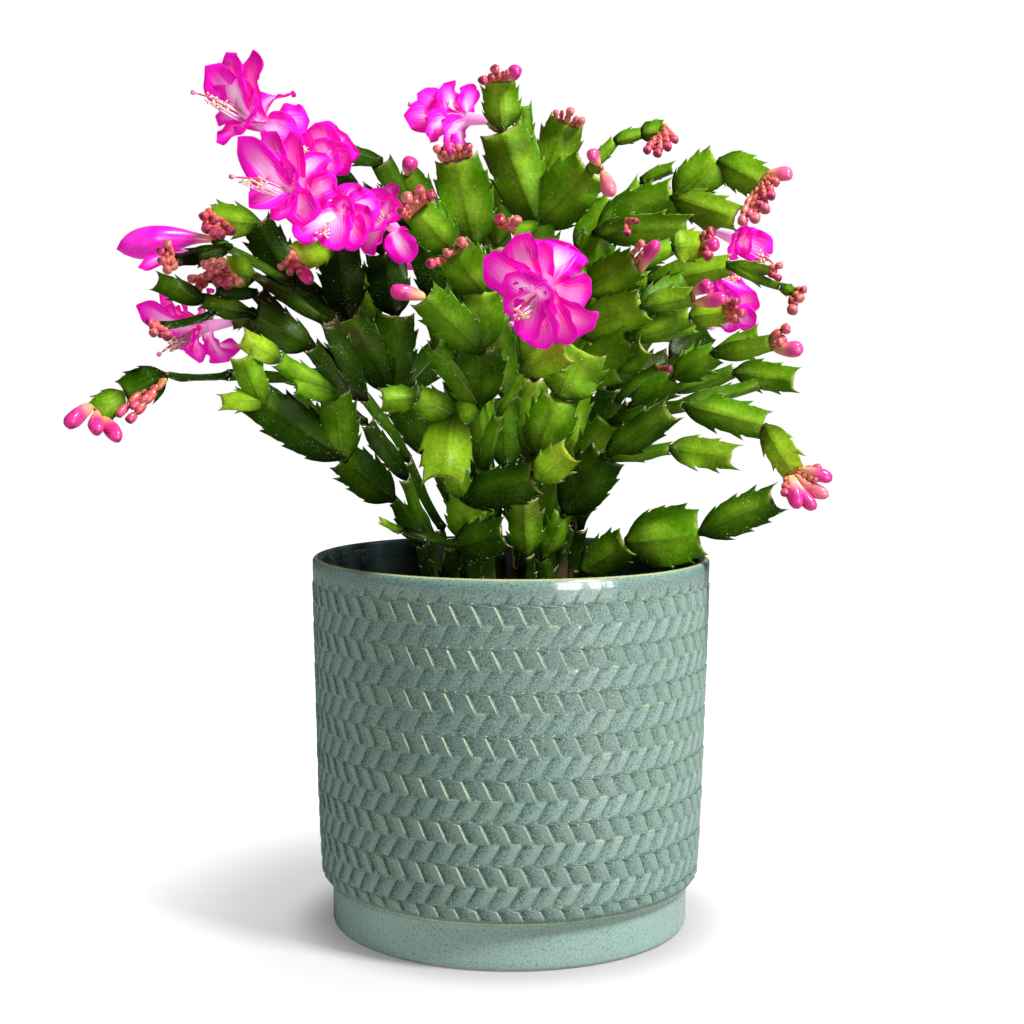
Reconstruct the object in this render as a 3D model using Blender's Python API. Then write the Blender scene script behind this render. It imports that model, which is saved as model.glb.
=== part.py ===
"""A christmas cactus in bloom, in its round glazed pot.

The pot stands on the ground at z = 0 with its axis on the Z axis, and the front of the plant
looks along -Y. Every length below is in millimetres and turned into metres where a mesh is made.

The plant is described as it shows from the front. A place on it is three numbers: how far across
and how far up it shows, measured in the upright plane through the pot's axis, and how far behind
(+) or before (-) that plane it lies. seen() turns these into a point in space.
"""
import math
import random

import bmesh
import bpy
from mathutils import Vector
from mathutils.bvhtree import BVHTree

MM = 0.001

# The shares of its triangles that a fused solid may keep, the smallest that leaves it sound first
FUSED_SHARES = (0.57, 0.60, 0.63, 0.66, 0.69, 0.72, 0.76, 0.80, 0.85, 0.90)

# The place that the plant is described from, straight in front of the pot's axis
EYE_DISTANCE = 693.6
EYE_HEIGHT = 218.6

# The pot
POT_HEIGHT = 140.0
FOOT_RADIUS = 68.0
FOOT_HEIGHT = 18.0
FOOT_CHAMFER = 1.5
SHOULDER_RADIUS = 71.3
BODY_RADIUS = 75.4
WALL = 4.0
FLOOR_THICKNESS = 7.0
INSIDE_FLOOR_RADIUS = 63.0
RIM_BAND = 4.0
RELIEF_ROWS = 10
RELIEF_CELLS = 36
RELIEF_DEPTH = 1.0
RELIEF_SLANT = 0.9

# The soil, with a hole for the foot of each stem
SOIL_TOP = 122.0
SOIL_SIDES = 28
CLEARANCE = 0.3
STEM_FOOT_RADIUS = 2.6
STEM_FOOT_DEPTH = 9.0
STEM_RISE = 2.0

# The flat stem segments: each row across one is where its midrib and its two edges are along the
# segment, then half its width, as shares of the segment's length and width. The last row ends in
# the two horns, which are longer on the last segment of a branch and cut flat where buds grow.
BROAD_ROWS = (
    (0.03, 0.03, 0.12),
    (0.20, 0.22, 0.37),
    (0.40, 0.47, 0.50),
    (0.50, 0.52, 0.41),
    (0.68, 0.79, 0.49),
    (0.82, 0.84, 0.37),
)
MIDDLE_ROWS = (
    (0.03, 0.03, 0.14),
    (0.30, 0.30, 0.44),
    (0.56, 0.68, 0.50),
    (0.70, 0.73, 0.38),
)
SLIM_ROWS = (
    (0.03, 0.03, 0.22),
    (0.35, 0.35, 0.46),
    (0.66, 0.78, 0.50),
)
BROAD_WIDTH = 13.5
MIDDLE_WIDTH = 9.5
JOINT_ROW = (0.98, 1.02, 0.32)
END_ROW = (0.98, 1.12, 0.36)
BEARING_ROW = (1.00, 1.00, 0.33)
SHARP_TURN = 42.0
SEGMENT_THICKNESS = 2.3
SEGMENT_OVERLAP = 1.5

# Buds and blooms
BUD_SIDES = 4
PETAL_THICKNESS = 1.0
TUBE_SIDES = 6
TUBE_RADIUS = 2.6
STAMEN_RADIUS = 2.0
STAMEN_SIDES = 4
LOWER_WHORL = 0.35
UPPER_WHORL = 0.12
FAN_ROW_RADIUS = 0.9
FAN_REACH = 0.3
SUNK_ROOT = 1.4

# What each leafy stem is made of. A branch starts in the soil, at (across, back), or at the tip
# of a segment that is already there, as (branch, segment). Each of its segments is the place of
# its tip, its width and how far it is turned from facing the front, in degrees.
STEMS = {
    "stem_far_left": (
        (("soil", -28, -14), (-34, 144, -18, 8, 60), (-45, 161, -26, 10, 50), (-64, 177, -36, 15, 0),
         (-95, 198, -50, 17, 0)),
        ((0, 2), (-67, 201, -42, 14, 0), (-88, 214, -50, 9, 25), (-102, 222, -56, 9, 20)),
        ((1, 0), (-82, 204, -52, 8, 40)),
        ((0, 3), (-102, 215, -56, 11, 0)),
        ((0, 3), (-110, 198, -56, 8, 20)),
        ((0, 2), (-84, 200, -30, 11, 10)),
    ),
    "stem_left_arm": (
        (("soil", -26, 2), (-30, 147, -4, 8, 70), (-40, 169, -10, 9, 50), (-55, 190, -16, 10, 40),
         (-80, 206, -22, 10, 50), (-107, 208, -28, 9, 60), (-131, 208, -34, 8, 75),
         (-147, 201, -40, 13, 5), (-157, 194, -46, 11, 10)),
    ),
    "stem_left_blooms": (
        (("soil", -19, 12), (-26, 150, 8, 8, 65), (-39, 176, 2, 9, 60), (-56, 199, -2, 9, 60),
         (-76, 219, -8, 12, 30), (-98, 231, -14, 15, 15), (-117, 236, -21, 8, 30),
         (-134, 243, -26, 9, 10)),
        ((0, 4), (-113, 231, -30, 6, 60), (-133, 226, -40, 6, 60)),
        ((0, 2), (-70, 228, 0, 11, 40), (-98, 245, -2, 8, 50), (-116, 244, -8, 7, 50)),
        ((2, 1), (-108, 248, -14, 12, 10)),
        ((0, 4), (-105, 228, -2, 8, 40)),
        ((0, 3), (-96, 239, -5, 9, 30), (-112, 240, -9, 7, 40)),
    ),
    "stem_left_upper": (
        (("soil", -13, 20), (-19, 152, 20, 8, 65), (-31, 178, 18, 9, 60), (-46, 202, 14, 13, 30),
         (-62, 230, 16, 15, 10), (-67, 259, 8, 18, 0)),
        ((0, 3), (-83, 242, 14, 13, 30), (-96, 265, 16, 16, 0)),
        ((1, 1), (-114, 267, -4, 12, 0)),
        ((1, 0), (-107, 256, 6, 7, 60), (-127, 251, -6, 9, 40)),
        ((0, 4), (-81, 252, -14, 13, 0)),
        ((3, 0), (-112, 259, 12, 6, 40)),
        ((0, 4), (-64, 268, -8, 8, 30)),
        ((0, 4), (-56, 264, -4, 8, 30)),
        ((0, 2), (-44, 231, 22, 18, 0), (-49, 254, 28, 17, 0), (-53, 272, 24, 13, 10)),
        ((0, 1), (-45, 198, 40, 12, 60)),
    ),
    "stem_arch": (
        (("soil", -5, 28), (-9, 150, 34, 8, 60), (-16, 178, 42, 10, 30), (-22, 206, 46, 12, 20),
         (-27, 234, 46, 14, 10), (-36, 263, 40, 13, 20), (-49, 288, 36, 12, 30), (-65, 292, 28, 8, 30)),
        ((0, 3), (-26, 262, 56, 13, 10), (-40, 284, 60, 13, 10)),
        ((0, 4), (-57, 277, 34, 12, 20), (-76, 291, 18, 10, 30)),
        ((0, 4), (-39, 258, 22, 8, 30)),
        ((0, 1), (-12, 203, 58, 12, 70)),
    ),
    "stem_centre_front": (
        (("soil", -6, -20), (-8, 148, -26, 9, 50), (-10, 173, -34, 9, 40), (-13, 197, -44, 9, 20),
         (-12, 218, -52, 18, 0), (-11, 240, -52, 16, 0), (-22, 255, -60, 17, 0), (-36, 270, -58, 15, 0)),
        ((0, 2), (-22, 193, -56, 9, 10), (-26, 169, -74, 18, 0)),
        ((0, 1), (-5, 194, -52, 7, 40), (4, 210, -62, 6, 50), (21, 217, -70, 10, 0)),
        ((0, 3), (-33, 238, -62, 14, 0)),
        ((0, 2), (-29, 219, -50, 10, 10)),
        ((1, 0), (-36, 200, -62, 12, 10), (-49, 199, -68, 10, 0)),
    ),
    "stem_centre_low": (
        (("soil", -16, -36), (-17, 145, -44, 12, 10), (-18, 162, -50, 14, 0), (-22, 172, -56, 10, 0)),
        ((0, 1), (9, 169, -62, 15, 0), (22, 179, -66, 12, 0)),
    ),
    "stem_low_left": (
        (("soil", -22, -44), (-22, 143, -54, 8, 30), (-3, 148, -60, 14, 0)),
        ((0, 0), (-42, 149, -62, 6, 60), (-50, 153, -66, 4, 50)),
    ),
    "stem_centre": (
        (("soil", 5, -34), (6, 140, -38, 7, 0), (5, 161, -44, 13, 0), (10, 178, -48, 10, 0),
         (18, 200, -52, 17, 0), (27, 218, -52, 21, 0)),
    ),
    "stem_right_front": (
        (("soil", 15, -24), (12, 139, -26, 8, 20), (20, 156, -30, 10, 20), (36, 178, -36, 18, 0),
         (60, 195, -44, 12, 10)),
        ((0, 2), (60, 181, -34, 8, 40), (84, 178, -36, 12, 0)),
        ((0, 1), (27, 172, -22, 10, 30), (37, 191, -24, 14, 10), (65, 198, -24, 8, 40),
         (96, 190, -28, 13, 0), (107, 172, -34, 11, 10)),
        ((2, 2), (94, 206, -16, 8, 40)),
    ),
    "stem_right_low": (
        (("soil", 26, -14), (27, 134, -18, 8, 30), (44, 145, -24, 15, 0), (72, 149, -28, 23, 0),
         (100, 162, -32, 14, 0)),
    ),
    "stem_right": (
        (("soil", 24, 4), (26, 150, 2, 9, 50), (33, 176, -2, 10, 50), (46, 197, -8, 10, 30),
         (61, 208, -12, 13, 10), (77, 217, -16, 12, 0), (98, 221, -20, 9, 20)),
        ((0, 4), (93, 225, -10, 8, 30)),
        ((0, 3), (69, 219, -4, 6, 50)),
        ((0, 2), (62, 203, 0, 8, 40), (84, 210, -2, 8, 25), (107, 207, -9, 12, 15)),
        ((0, 1), (40, 199, -16, 6, 50), (56, 212, -27, 6, 45)),
        ((0, 2), (56, 206, 14, 12, 60), (68, 216, 28, 13, 50)),
    ),
    "stem_right_fan": (
        (("soil", 12, -8), (13, 150, -10, 10, 40), (16, 178, -18, 11, 30), (21, 205, -28, 12, 20),
         (25, 225, -34, 12, 10), (28, 241, -36, 12, 10)),
        ((0, 2), (45, 223, -44, 14, 0), (67, 231, -44, 10, 20), (81, 233, -46, 11, 0)),
        ((1, 0), (70, 227, -34, 8, 40)),
        ((0, 3), (50, 235, -50, 16, 0), (68, 238, -50, 9, 20)),
        ((3, 0), (66, 244, -40, 10, 10)),
        ((0, 4), (47, 251, -50, 15, 0), (60, 257, -45, 8, 15), (71, 258, -41, 12, 0)),
        ((0, 4), (51, 244, -30, 9, 20), (82, 250, -32, 11, 10), (97, 248, -34, 6, 40)),
        ((6, 1), (101, 242, -30, 5, 40), (106, 240, -30, 5, 20)),
        ((0, 2), (41, 210, -38, 9, 20), (50, 219, -48, 10, 0)),
        ((0, 4), (22, 247, -54, 10, 20)),
    ),
    "stem_top_left": (
        (("soil", -3, 6), (-5, 150, 4, 9, 50), (-9, 178, 2, 10, 40), (-13, 205, -4, 12, 20),
         (-15, 231, -10, 14, 10), (-14, 257, -16, 15, 0), (-21, 289, -22, 20, 0)),
    ),
    "stem_top": (
        (("soil", 4, 4), (5, 150, 4, 10, 40), (7, 178, 2, 11, 30), (9, 207, 0, 13, 20),
         (10, 236, -6, 14, 10), (9, 266, -10, 16, 0), (-4, 300, -14, 20, 0), (-5, 318, -18, 14, 0)),
        ((0, 4), (12, 281, -2, 9, 20), (20, 303, -4, 17, 0)),
        ((0, 4), (29, 286, -20, 22, 0), (38, 296, -17, 6, 30), (48, 299, -14, 6, 20), (56, 300, -12, 9, 20)),
        ((0, 4), (-2, 263, -30, 8, 50)),
        ((2, 0), (33, 286, -26, 5, 30)),
        ((0, 5), (-8, 303, -3, 6, 30)),
        ((0, 0), (-2, 173, 18, 12, 10), (-3, 200, 24, 13, 0), (-6, 229, 27, 13, -10), (-6, 257, 22, 13, 10),
         (-5, 280, 12, 12, 0)),
        ((0, 4), (5, 289, 4, 9, 20), (4, 309, 2, 8, 10)),
    ),
    "stem_top_right": (
        (("soil", 15, 14), (18, 150, 14, 9, 50), (22, 177, 14, 10, 40), (26, 205, 14, 12, 20),
         (30, 233, 12, 14, 10), (32, 262, 8, 15, 0), (61, 275, 2, 21, 0), (77, 289, 0, 17, 0),
         (93, 281, -8, 14, 0)),
        ((0, 5), (84, 268, -8, 12, 0)),
        ((0, 4), (48, 281, 14, 8, 40), (60, 286, 16, 7, 40)),
        ((0, 4), (43, 266, -14, 5, 30)),
        ((0, 5), (76, 263, 14, 9, 30)),
        ((0, 3), (48, 236, 18, 11, 20), (63, 238, 14, 10, 20)),
        ((0, 3), (24, 256, 22, 13, 0), (38, 273, 24, 13, 0)),
        ((0, 4), (66, 264, -8, 12, 10)),
        ((0, 2), (39, 224, 38, 13, 60)),
    ),
    "stem_back_left": (
        (("soil", -12, 36), (-16, 150, 44, 9, 40), (-26, 177, 56, 12, 20), (-40, 203, 68, 14, 0),
         (-52, 227, 80, 16, 10), (-60, 247, 92, 16, -10)),
        ((0, 2), (-22, 222, 84, 15, 10), (-26, 244, 98, 16, 0)),
    ),
    "stem_back": (
        (("soil", 4, 40), (4, 150, 50, 9, 40), (4, 178, 62, 12, 20), (2, 206, 72, 14, 0),
         (-4, 233, 78, 16, 0), (-6, 262, 80, 16, 10)),
        ((0, 2), (16, 226, 88, 15, 0), (20, 247, 102, 16, 10)),
        ((0, 1), (14, 190, 86, 14, 20), (18, 196, 108, 15, 10)),
    ),
    "stem_back_right": (
        (("soil", 20, 34), (24, 150, 42, 9, 40), (30, 177, 50, 12, 20), (38, 204, 58, 14, 0),
         (48, 228, 68, 16, 0), (56, 250, 76, 16, 10)),
        ((0, 2), (60, 214, 74, 15, 0), (74, 226, 88, 15, 10)),
    ),
}

# The blooms: the segment that each grows from, as (stem, branch, segment), where the mouth of its
# tube is, where its stigma ends, and the tips of its petals, each with its width
BLOOMS = {
    "bloom_top_left": (
        ("stem_arch", 2, 1), (-96, 303, 0), (-119, 313, -12),
        ((-115, 323, 2, 13), (-107, 328, 4, 13), (-97, 329, 6, 12), (-83, 313, 10, 15), (-76, 303, 2, 13),
         (-82, 297, -4, 12), (-111, 295, -6, 12), (-97, 318, 22, 12), (-104, 320, 16, 10)),
    ),
    "bloom_upper_left": (
        ("stem_left_upper", 6, 0), (-82, 276, -32), (-105, 282, -54),
        ((-103, 297, -36, 12), (-93, 299, -26, 12), (-83, 299, -26, 12), (-70, 291, -26, 15), (-66, 281, -32, 12),
         (-99, 271, -42, 12), (-88, 266, -44, 12), (-75, 266, -40, 12)),
    ),
    "bloom_upper_left_back": (
        ("stem_arch", 0, 6), (-69, 290, 12), (-84, 293, 4),
        ((-74, 302, 4, 14), (-62, 298, 10, 16), (-60, 289, 2, 12), (-68, 282, 0, 12), (-78, 284, 14, 12),
         (-70, 298, 24, 12)),
    ),
    "bloom_left_centre": (
        ("stem_left_upper", 7, 0), (-64, 268, -26), (-74, 259, -42),
        ((-82, 260, -40, 12), (-66, 255, -42, 12), (-57, 257, -36, 12), (-50, 273, -26, 12), (-58, 280, -22, 12),
         (-52, 264, -32, 11)),
    ),
    "bloom_centre_back": (
        ("stem_arch", 3, 0), (-47, 266, 8), (-56, 272, -4),
        ((-53, 278, 8, 11), (-42, 272, 0, 11), (-38, 251, 4, 11), (-56, 254, 6, 11), (-60, 268, 16, 11),
         (-46, 280, 18, 11)),
    ),
    "bloom_top": (
        ("stem_top", 5, 0), (-18, 304, 4), (-38, 309, 6),
        ((-41, 305, -4, 11), (-33, 299, -8, 11), (-36, 313, 0, 12), (-26, 317, 2, 14), (-26, 295, -4, 11),
         (-19, 293, 2, 11), (-14, 315, 12, 11), (-30, 306, 16, 11)),
    ),
    "bloom_front": (
        ("stem_right_fan", 9, 0), (11, 240, -72), (0, 228, -86),
        ((-11, 252, -76, 14), (1, 261, -68, 16), (12, 259, -76, 8), (22, 258, -68, 18), (30, 239, -66, 15),
         (31, 226, -68, 14), (22, 220, -72, 12), (13, 218, -78, 14), (5, 221, -80, 11)),
    ),
    "bloom_left_low": (
        ("stem_left_blooms", 4, 0), (-117, 226, -8), (-133, 216, -18),
        ((-142, 234, -10, 12), (-133, 239, -4, 14), (-114, 239, 2, 12), (-117, 213, -14, 12), (-107, 213, -8, 14),
         (-103, 219, 4, 12), (-124, 232, 10, 12), (-127, 221, 4, 9)),
    ),
    "bloom_right": (
        ("stem_top_right", 4, 0), (84, 260, 8), (99, 250, 2),
        ((82, 254, 2, 9), (91, 264, 4, 11), (98, 255, 4, 11), (90, 257, -2, 9), (88, 264, 16, 11),
         (94, 254, 14, 11)),
    ),
    "bloom_right_back": (
        ("stem_top_right", 5, 1), (74, 243, 6), (88, 247, 0),
        ((64, 246, -6, 9), (77, 250, -6, 9), (90, 240, -2, 10), (86, 244, 2, 9), (76, 238, 16, 10),
         (85, 246, 18, 10), (68, 249, 14, 10)),
    ),
    "bloom_back_left": (
        ("stem_back_left", 1, 1), (-32, 256, 114), (-38, 262, 124),
        ((-44, 258, 112, 12), (-36, 266, 108, 12), (-24, 266, 112, 12), (-20, 256, 118, 12), (-28, 246, 120, 12),
         (-40, 248, 118, 12)),
    ),
    "bloom_back_right": (
        ("stem_back_right", 1, 1), (82, 233, 101), (88, 236, 108),
        ((92, 228, 100, 12), (92, 240, 96, 12), (80, 244, 96, 12), (74, 238, 104, 12), (80, 226, 106, 12),
         (90, 226, 106, 11)),
    ),
}

# The blooms whose stamens show, as a body of their own
OPEN_BLOOMS = ("bloom_top_left", "bloom_upper_left", "bloom_front", "bloom_left_low")

# The buds that stand by themselves or in a fan: the segment that they grow from, as (stem, branch,
# segment), and the tip and the half width of each
BUD_FANS = {
    "bud_great_left": (("stem_left_upper", 5, 0), ((-149, 255, 2, 6.2),)),
    "buds_left_tip": (
        ("stem_left_upper", 3, 1),
        ((-133, 255, -14, 1.8), (-133, 251, -14, 1.8), (-130, 258, -14, 1.7), (-131, 247, -13, 1.9)),
    ),
    "buds_far_left": (
        ("stem_left_arm", 0, 7),
        ((-169, 188, -58, 2.9), (-157, 186, -58, 2.7), (-149, 183, -54, 2.8)),
    ),
    "buds_left_curl": (
        ("stem_left_upper", 2, 0),
        ((-117, 267, -12, 1.9), (-115, 262, -13, 2.0), (-112, 260, -14, 2.0), (-109, 260, -14, 2.0),
         (-105, 261, -12, 1.9)),
    ),
    "buds_left_fan": (
        ("stem_left_blooms", 3, 0),
        ((-117, 249, -20, 2.0), (-116, 245, -20, 2.0), (-112, 242, -21, 2.0), (-107, 241, -21, 2.0),
         (-102, 242, -20, 1.7)),
    ),
    "buds_left_lime": (
        ("stem_left_upper", 4, 0),
        ((-88, 248, -20, 1.5), (-84, 246, -21, 1.5), (-80, 246, -21, 1.5), (-76, 243, -22, 2.5)),
    ),
    "buds_centre_fan": (
        ("stem_centre_front", 0, 6),
        ((-42, 270, -66, 1.8), (-40, 276, -66, 2.2), (-35, 279, -64, 2.0), (-30, 277, -62, 1.9)),
    ),
    "buds_centre_apex": (
        ("stem_top_left", 0, 5),
        ((-29, 294, -26, 1.7), (-25, 295, -27, 2.3), (-21, 295, -26, 1.6), (-17, 295, -26, 1.7)),
    ),
    "bud_centre_left": (("stem_centre_front", 3, 0), ((-46, 240, -66, 2.8),)),
    "buds_top": (
        ("stem_top", 0, 6),
        ((-12, 318, -26, 1.9), (-7, 323, -24, 1.9), (2, 323, -24, 2.5)),
    ),
    "bud_magenta": (("stem_top", 4, 0), ((29, 293, -30, 2.3), (37, 276, -34, 2.8))),
    "buds_top_right": (
        ("stem_top", 2, 3),
        ((50, 292, -24, 1.7), (54, 291, -24, 1.8), (58, 293, -24, 1.8), (61, 296, -22, 1.6)),
    ),
    "buds_right_fan": (
        ("stem_top_right", 0, 7),
        ((105, 284, -12, 2.7), (97, 275, -18, 1.9), (95, 270, -18, 2.2), (91, 266, -17, 2.2),
         (86, 265, -16, 1.9)),
    ),
    "buds_right_arch": (
        ("stem_right_fan", 5, 2),
        ((76, 263, -43, 2.2), (78, 258, -44, 2.6), (74, 253, -46, 2.2)),
    ),
    "buds_right_mid": (
        ("stem_right_fan", 3, 1),
        ((75, 243, -56, 2.4), (81, 238, -56, 2.5)),
    ),
    "buds_right_tip": (
        ("stem_right_fan", 7, 1),
        ((109, 237, -34, 2.0), (106, 232, -34, 2.2), (111, 241, -33, 1.6)),
    ),
    "buds_right_large": (
        ("stem_right", 0, 5),
        ((110, 219, -24, 3.0), (105, 227, -22, 2.2)),
    ),
    "buds_right_low": (
        ("stem_right_front", 2, 4),
        ((104, 163, -38, 1.6), (109, 158, -40, 2.8), (116, 158, -40, 2.7), (121, 163, -39, 2.6),
         (122, 169, -38, 2.4), (118, 174, -36, 1.7)),
    ),
}

# The small buds that are part of the stem they grow from, each in the same way
SMALL_BUDS = (
    (("stem_left_arm", 0, 5), ((-150, 192, -46, 1.7), (-146, 190, -46, 1.8))),
    (("stem_top", 1, 1), ((16, 307, -8, 1.2), (22, 308, -9, 1.7), (26, 304, -9, 1.5))),
    (("stem_top", 3, 0), ((-5, 268, -34, 2.2), (2, 268, -34, 2.0))),
    (("stem_arch", 1, 1), ((-38, 290, 56, 3.2),)),
    (("stem_left_blooms", 1, 1), ((-138, 228, -44, 1.6), (-136, 223, -45, 1.8), (-130, 222, -45, 2.2))),
    (("stem_left_blooms", 2, 2), ((-122, 244, -14, 1.9), (-120, 239, -14, 2.0))),
    (("stem_right_fan", 1, 2), ((85, 237, -52, 1.6), (88, 232, -52, 1.8), (85, 229, -50, 1.6))),
    (("stem_right_fan", 5, 0), ((49, 259, -55, 1.4), (55, 259, -56, 2.4))),
    (("stem_right_fan", 6, 2), ((102, 250, -36, 1.4), (101, 245, -37, 1.5))),
    (("stem_centre_front", 0, 5), ((-20, 259, -66, 2.0), (-32, 250, -68, 1.9))),
    (("stem_top_right", 3, 0), ((43, 261, -18, 1.6), (47, 266, -18, 1.3))),
    (("stem_right", 4, 1), ((60, 211, -34, 1.5),)),
)


def seen(across, up, depth):
    """The point that shows at this place across and up, this far behind the axis plane."""
    reach = (EYE_DISTANCE + depth) / EYE_DISTANCE
    return Vector((across * reach, depth, EYE_HEIGHT + (up - EYE_HEIGHT) * reach))


def material(name, colour, roughness, metallic=0.0):
    """A plain Principled material."""
    made = bpy.data.materials.new(name)
    made.use_nodes = True
    shader = made.node_tree.nodes["Principled BSDF"]
    shader.inputs["Base Color"].default_value = (*colour, 1.0)
    shader.inputs["Roughness"].default_value = roughness
    shader.inputs["Metallic"].default_value = metallic
    return made


def add_object(name, mesh, finish, collection=None):
    """Put a bmesh, in millimetres, into the scene as one object in metres."""
    data = bpy.data.meshes.new(name)
    bmesh.ops.scale(mesh, vec=(MM, MM, MM), verts=mesh.verts)
    bmesh.ops.triangulate(mesh, faces=[face for face in mesh.faces if len(face.verts) > 4])
    mesh.to_mesh(data)
    mesh.free()
    data.materials.append(finish)
    made = bpy.data.objects.new(name, data)
    (collection or bpy.context.scene.collection).objects.link(made)
    return made


def fuse(name, bodies, finish):
    """Join the bodies, each a bmesh in millimetres, into one solid by a Boolean union, and thin
    out its triangles as far as it stays sound."""
    first = add_object(name, bodies[0], finish)
    if len(bodies) == 1:
        return first
    rest = bpy.data.collections.new(name + "_rest")
    bpy.context.scene.collection.children.link(rest)
    for number, body in enumerate(bodies[1:]):
        add_object(name + "_piece_" + str(number), body, finish, rest)
    union = first.modifiers.new("union", "BOOLEAN")
    union.operation = "UNION"
    union.operand_type = "COLLECTION"
    union.collection = rest
    union.solver = "MANIFOLD"
    thinner = first.modifiers.new("thinner", "DECIMATE")
    for share in FUSED_SHARES:
        thinner.ratio = share
        evaluated = first.evaluated_get(bpy.context.evaluated_depsgraph_get())
        applied = bpy.data.meshes.new_from_object(evaluated)
        if is_sound(applied):
            break
    first.modifiers.clear()
    first.data = applied
    for piece in list(rest.objects):
        bpy.data.objects.remove(piece)
    bpy.data.collections.remove(rest)
    return first


def is_sound(data):
    """Whether a mesh is closed and no face of it passes through one that it shares no corner with."""
    mesh = bmesh.new()
    mesh.from_mesh(data)
    bmesh.ops.triangulate(mesh, faces=mesh.faces[:])
    closed = all(len(edge.link_faces) == 2 for edge in mesh.edges)
    mesh.faces.ensure_lookup_table()
    tree = BVHTree.FromBMesh(mesh)
    for one, other in tree.overlap(tree):
        corners = set(mesh.faces[one].verts)
        if one < other and corners.isdisjoint(mesh.faces[other].verts):
            closed = False
            break
    mesh.free()
    return closed


def ring(mesh, radius, height, sides, start=0.0):
    """A level ring of points round the Z axis."""
    points = []
    for step in range(sides):
        angle = 2 * math.pi * (step + start) / sides
        points.append(mesh.verts.new((radius * math.cos(angle), radius * math.sin(angle), height)))
    return points


def skin(mesh, lower, upper):
    """Faces between two rings of as many points, pointing outwards when the second is higher."""
    count = len(lower)
    for step in range(count):
        after = (step + 1) % count
        mesh.faces.new((lower[step], lower[after], upper[after], upper[step]))


def skin_halved(mesh, many, few, many_below):
    """Three triangles a step between a ring and one of half as many points."""
    for step in range(len(few)):
        after = (step + 1) % len(few)
        one, two, three = many[2 * step], many[2 * step + 1], many[(2 * step + 2) % len(many)]
        corners = ((one, two, few[step]), (two, few[after], few[step]), (two, three, few[after]))
        for corner in corners:
            mesh.faces.new(corner if many_below else corner[::-1])


def body_radius(height):
    """The pot's outer radius, which swells quickly over the shoulder and then slowly to the rim."""
    share = (height - FOOT_HEIGHT) / (POT_HEIGHT - FOOT_HEIGHT)
    return SHOULDER_RADIUS + (BODY_RADIUS - SHOULDER_RADIUS) * share ** 0.6


def make_pot():
    """The glazed pot: its foot, its body with the herringbone relief, its rim and its inside.

    Each row of the relief is a band of slanted ridges, and the slant turns round at the next."""
    mesh = bmesh.new()
    bottom = ring(mesh, FOOT_RADIUS - FOOT_CHAMFER, 0.0, RELIEF_CELLS)
    foot = ring(mesh, FOOT_RADIUS, FOOT_CHAMFER, RELIEF_CELLS)
    neck = ring(mesh, FOOT_RADIUS, FOOT_HEIGHT - 2.0, RELIEF_CELLS)
    mesh.faces.new(bottom[::-1])
    skin(mesh, bottom, foot)
    skin(mesh, foot, neck)
    relief_top = POT_HEIGHT - RIM_BAND
    rows = []
    for row in range(RELIEF_ROWS + 1):
        height = FOOT_HEIGHT + (relief_top - FOOT_HEIGHT) * row / RELIEF_ROWS
        shift = RELIEF_SLANT * (row % 2)
        points = ring(mesh, body_radius(height), height, 2 * RELIEF_CELLS, shift)
        for step, point in enumerate(points):
            edge_row = row in (0, RELIEF_ROWS)
            sink = 0.0 if edge_row else RELIEF_DEPTH * (step % 2)
            flat = 1.0 - sink / Vector((point.co.x, point.co.y)).length
            point.co.x *= flat
            point.co.y *= flat
        rows.append(points)
    skin_halved(mesh, rows[0], neck, many_below=False)
    for lower, upper in zip(rows, rows[1:]):
        skin(mesh, lower, upper)
    rim_outer = ring(mesh, BODY_RADIUS - 0.3, POT_HEIGHT - 1.0, RELIEF_CELLS)
    rim_top = ring(mesh, BODY_RADIUS - WALL * 0.45, POT_HEIGHT, RELIEF_CELLS)
    rim_inner = ring(mesh, BODY_RADIUS - WALL, POT_HEIGHT - 1.2, RELIEF_CELLS)
    floor_edge = ring(mesh, INSIDE_FLOOR_RADIUS, FLOOR_THICKNESS, RELIEF_CELLS)
    skin_halved(mesh, rows[-1], rim_outer, many_below=True)
    skin(mesh, rim_outer, rim_top)
    skin(mesh, rim_top, rim_inner)
    skin(mesh, rim_inner, floor_edge)
    mesh.faces.new(floor_edge)
    bmesh.ops.triangulate(mesh, faces=mesh.faces)
    made = add_object("pot", mesh, material("celadon_glaze", (0.20, 0.36, 0.33), 0.25))
    made.data.shade_smooth()
    made.data.set_sharp_from_angle(angle=math.radians(35))
    return made


def inside_radius(height):
    """The radius of the pot's inside, which tapers from the rim to its floor."""
    share = (height - FLOOR_THICKNESS) / (POT_HEIGHT - 1.2 - FLOOR_THICKNESS)
    return INSIDE_FLOOR_RADIUS + (BODY_RADIUS - WALL - INSIDE_FLOOR_RADIUS) * share


def make_soil():
    """The soil that fills the pot, with a plain hole for the foot of every stem."""
    mesh = bmesh.new()
    rings = []
    for height in (FLOOR_THICKNESS + CLEARANCE, SOIL_TOP):
        inner = inside_radius(height) * math.cos(math.pi / RELIEF_CELLS)
        rings.append(ring(mesh, inner - CLEARANCE, height, SOIL_SIDES))
    mesh.faces.new(rings[0][::-1])
    skin(mesh, rings[0], rings[1])
    mesh.faces.new(rings[1])
    soil = add_object("soil", mesh, material("potting_soil", (0.045, 0.030, 0.022), 0.95))
    holes = bmesh.new()
    for branches in STEMS.values():
        for start, *segments in branches:
            if start[0] == "soil":
                drill(holes, start[1], start[2], foot_turn(start, segments[0]))
    cutter = add_object("soil_holes", holes, soil.data.materials[0])
    cut = soil.modifiers.new("holes", "BOOLEAN")
    cut.operation = "DIFFERENCE"
    cut.object = cutter
    cut.solver = "EXACT"
    cutter.hide_render = True
    cutter.display_type = "WIRE"
    return soil


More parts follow.
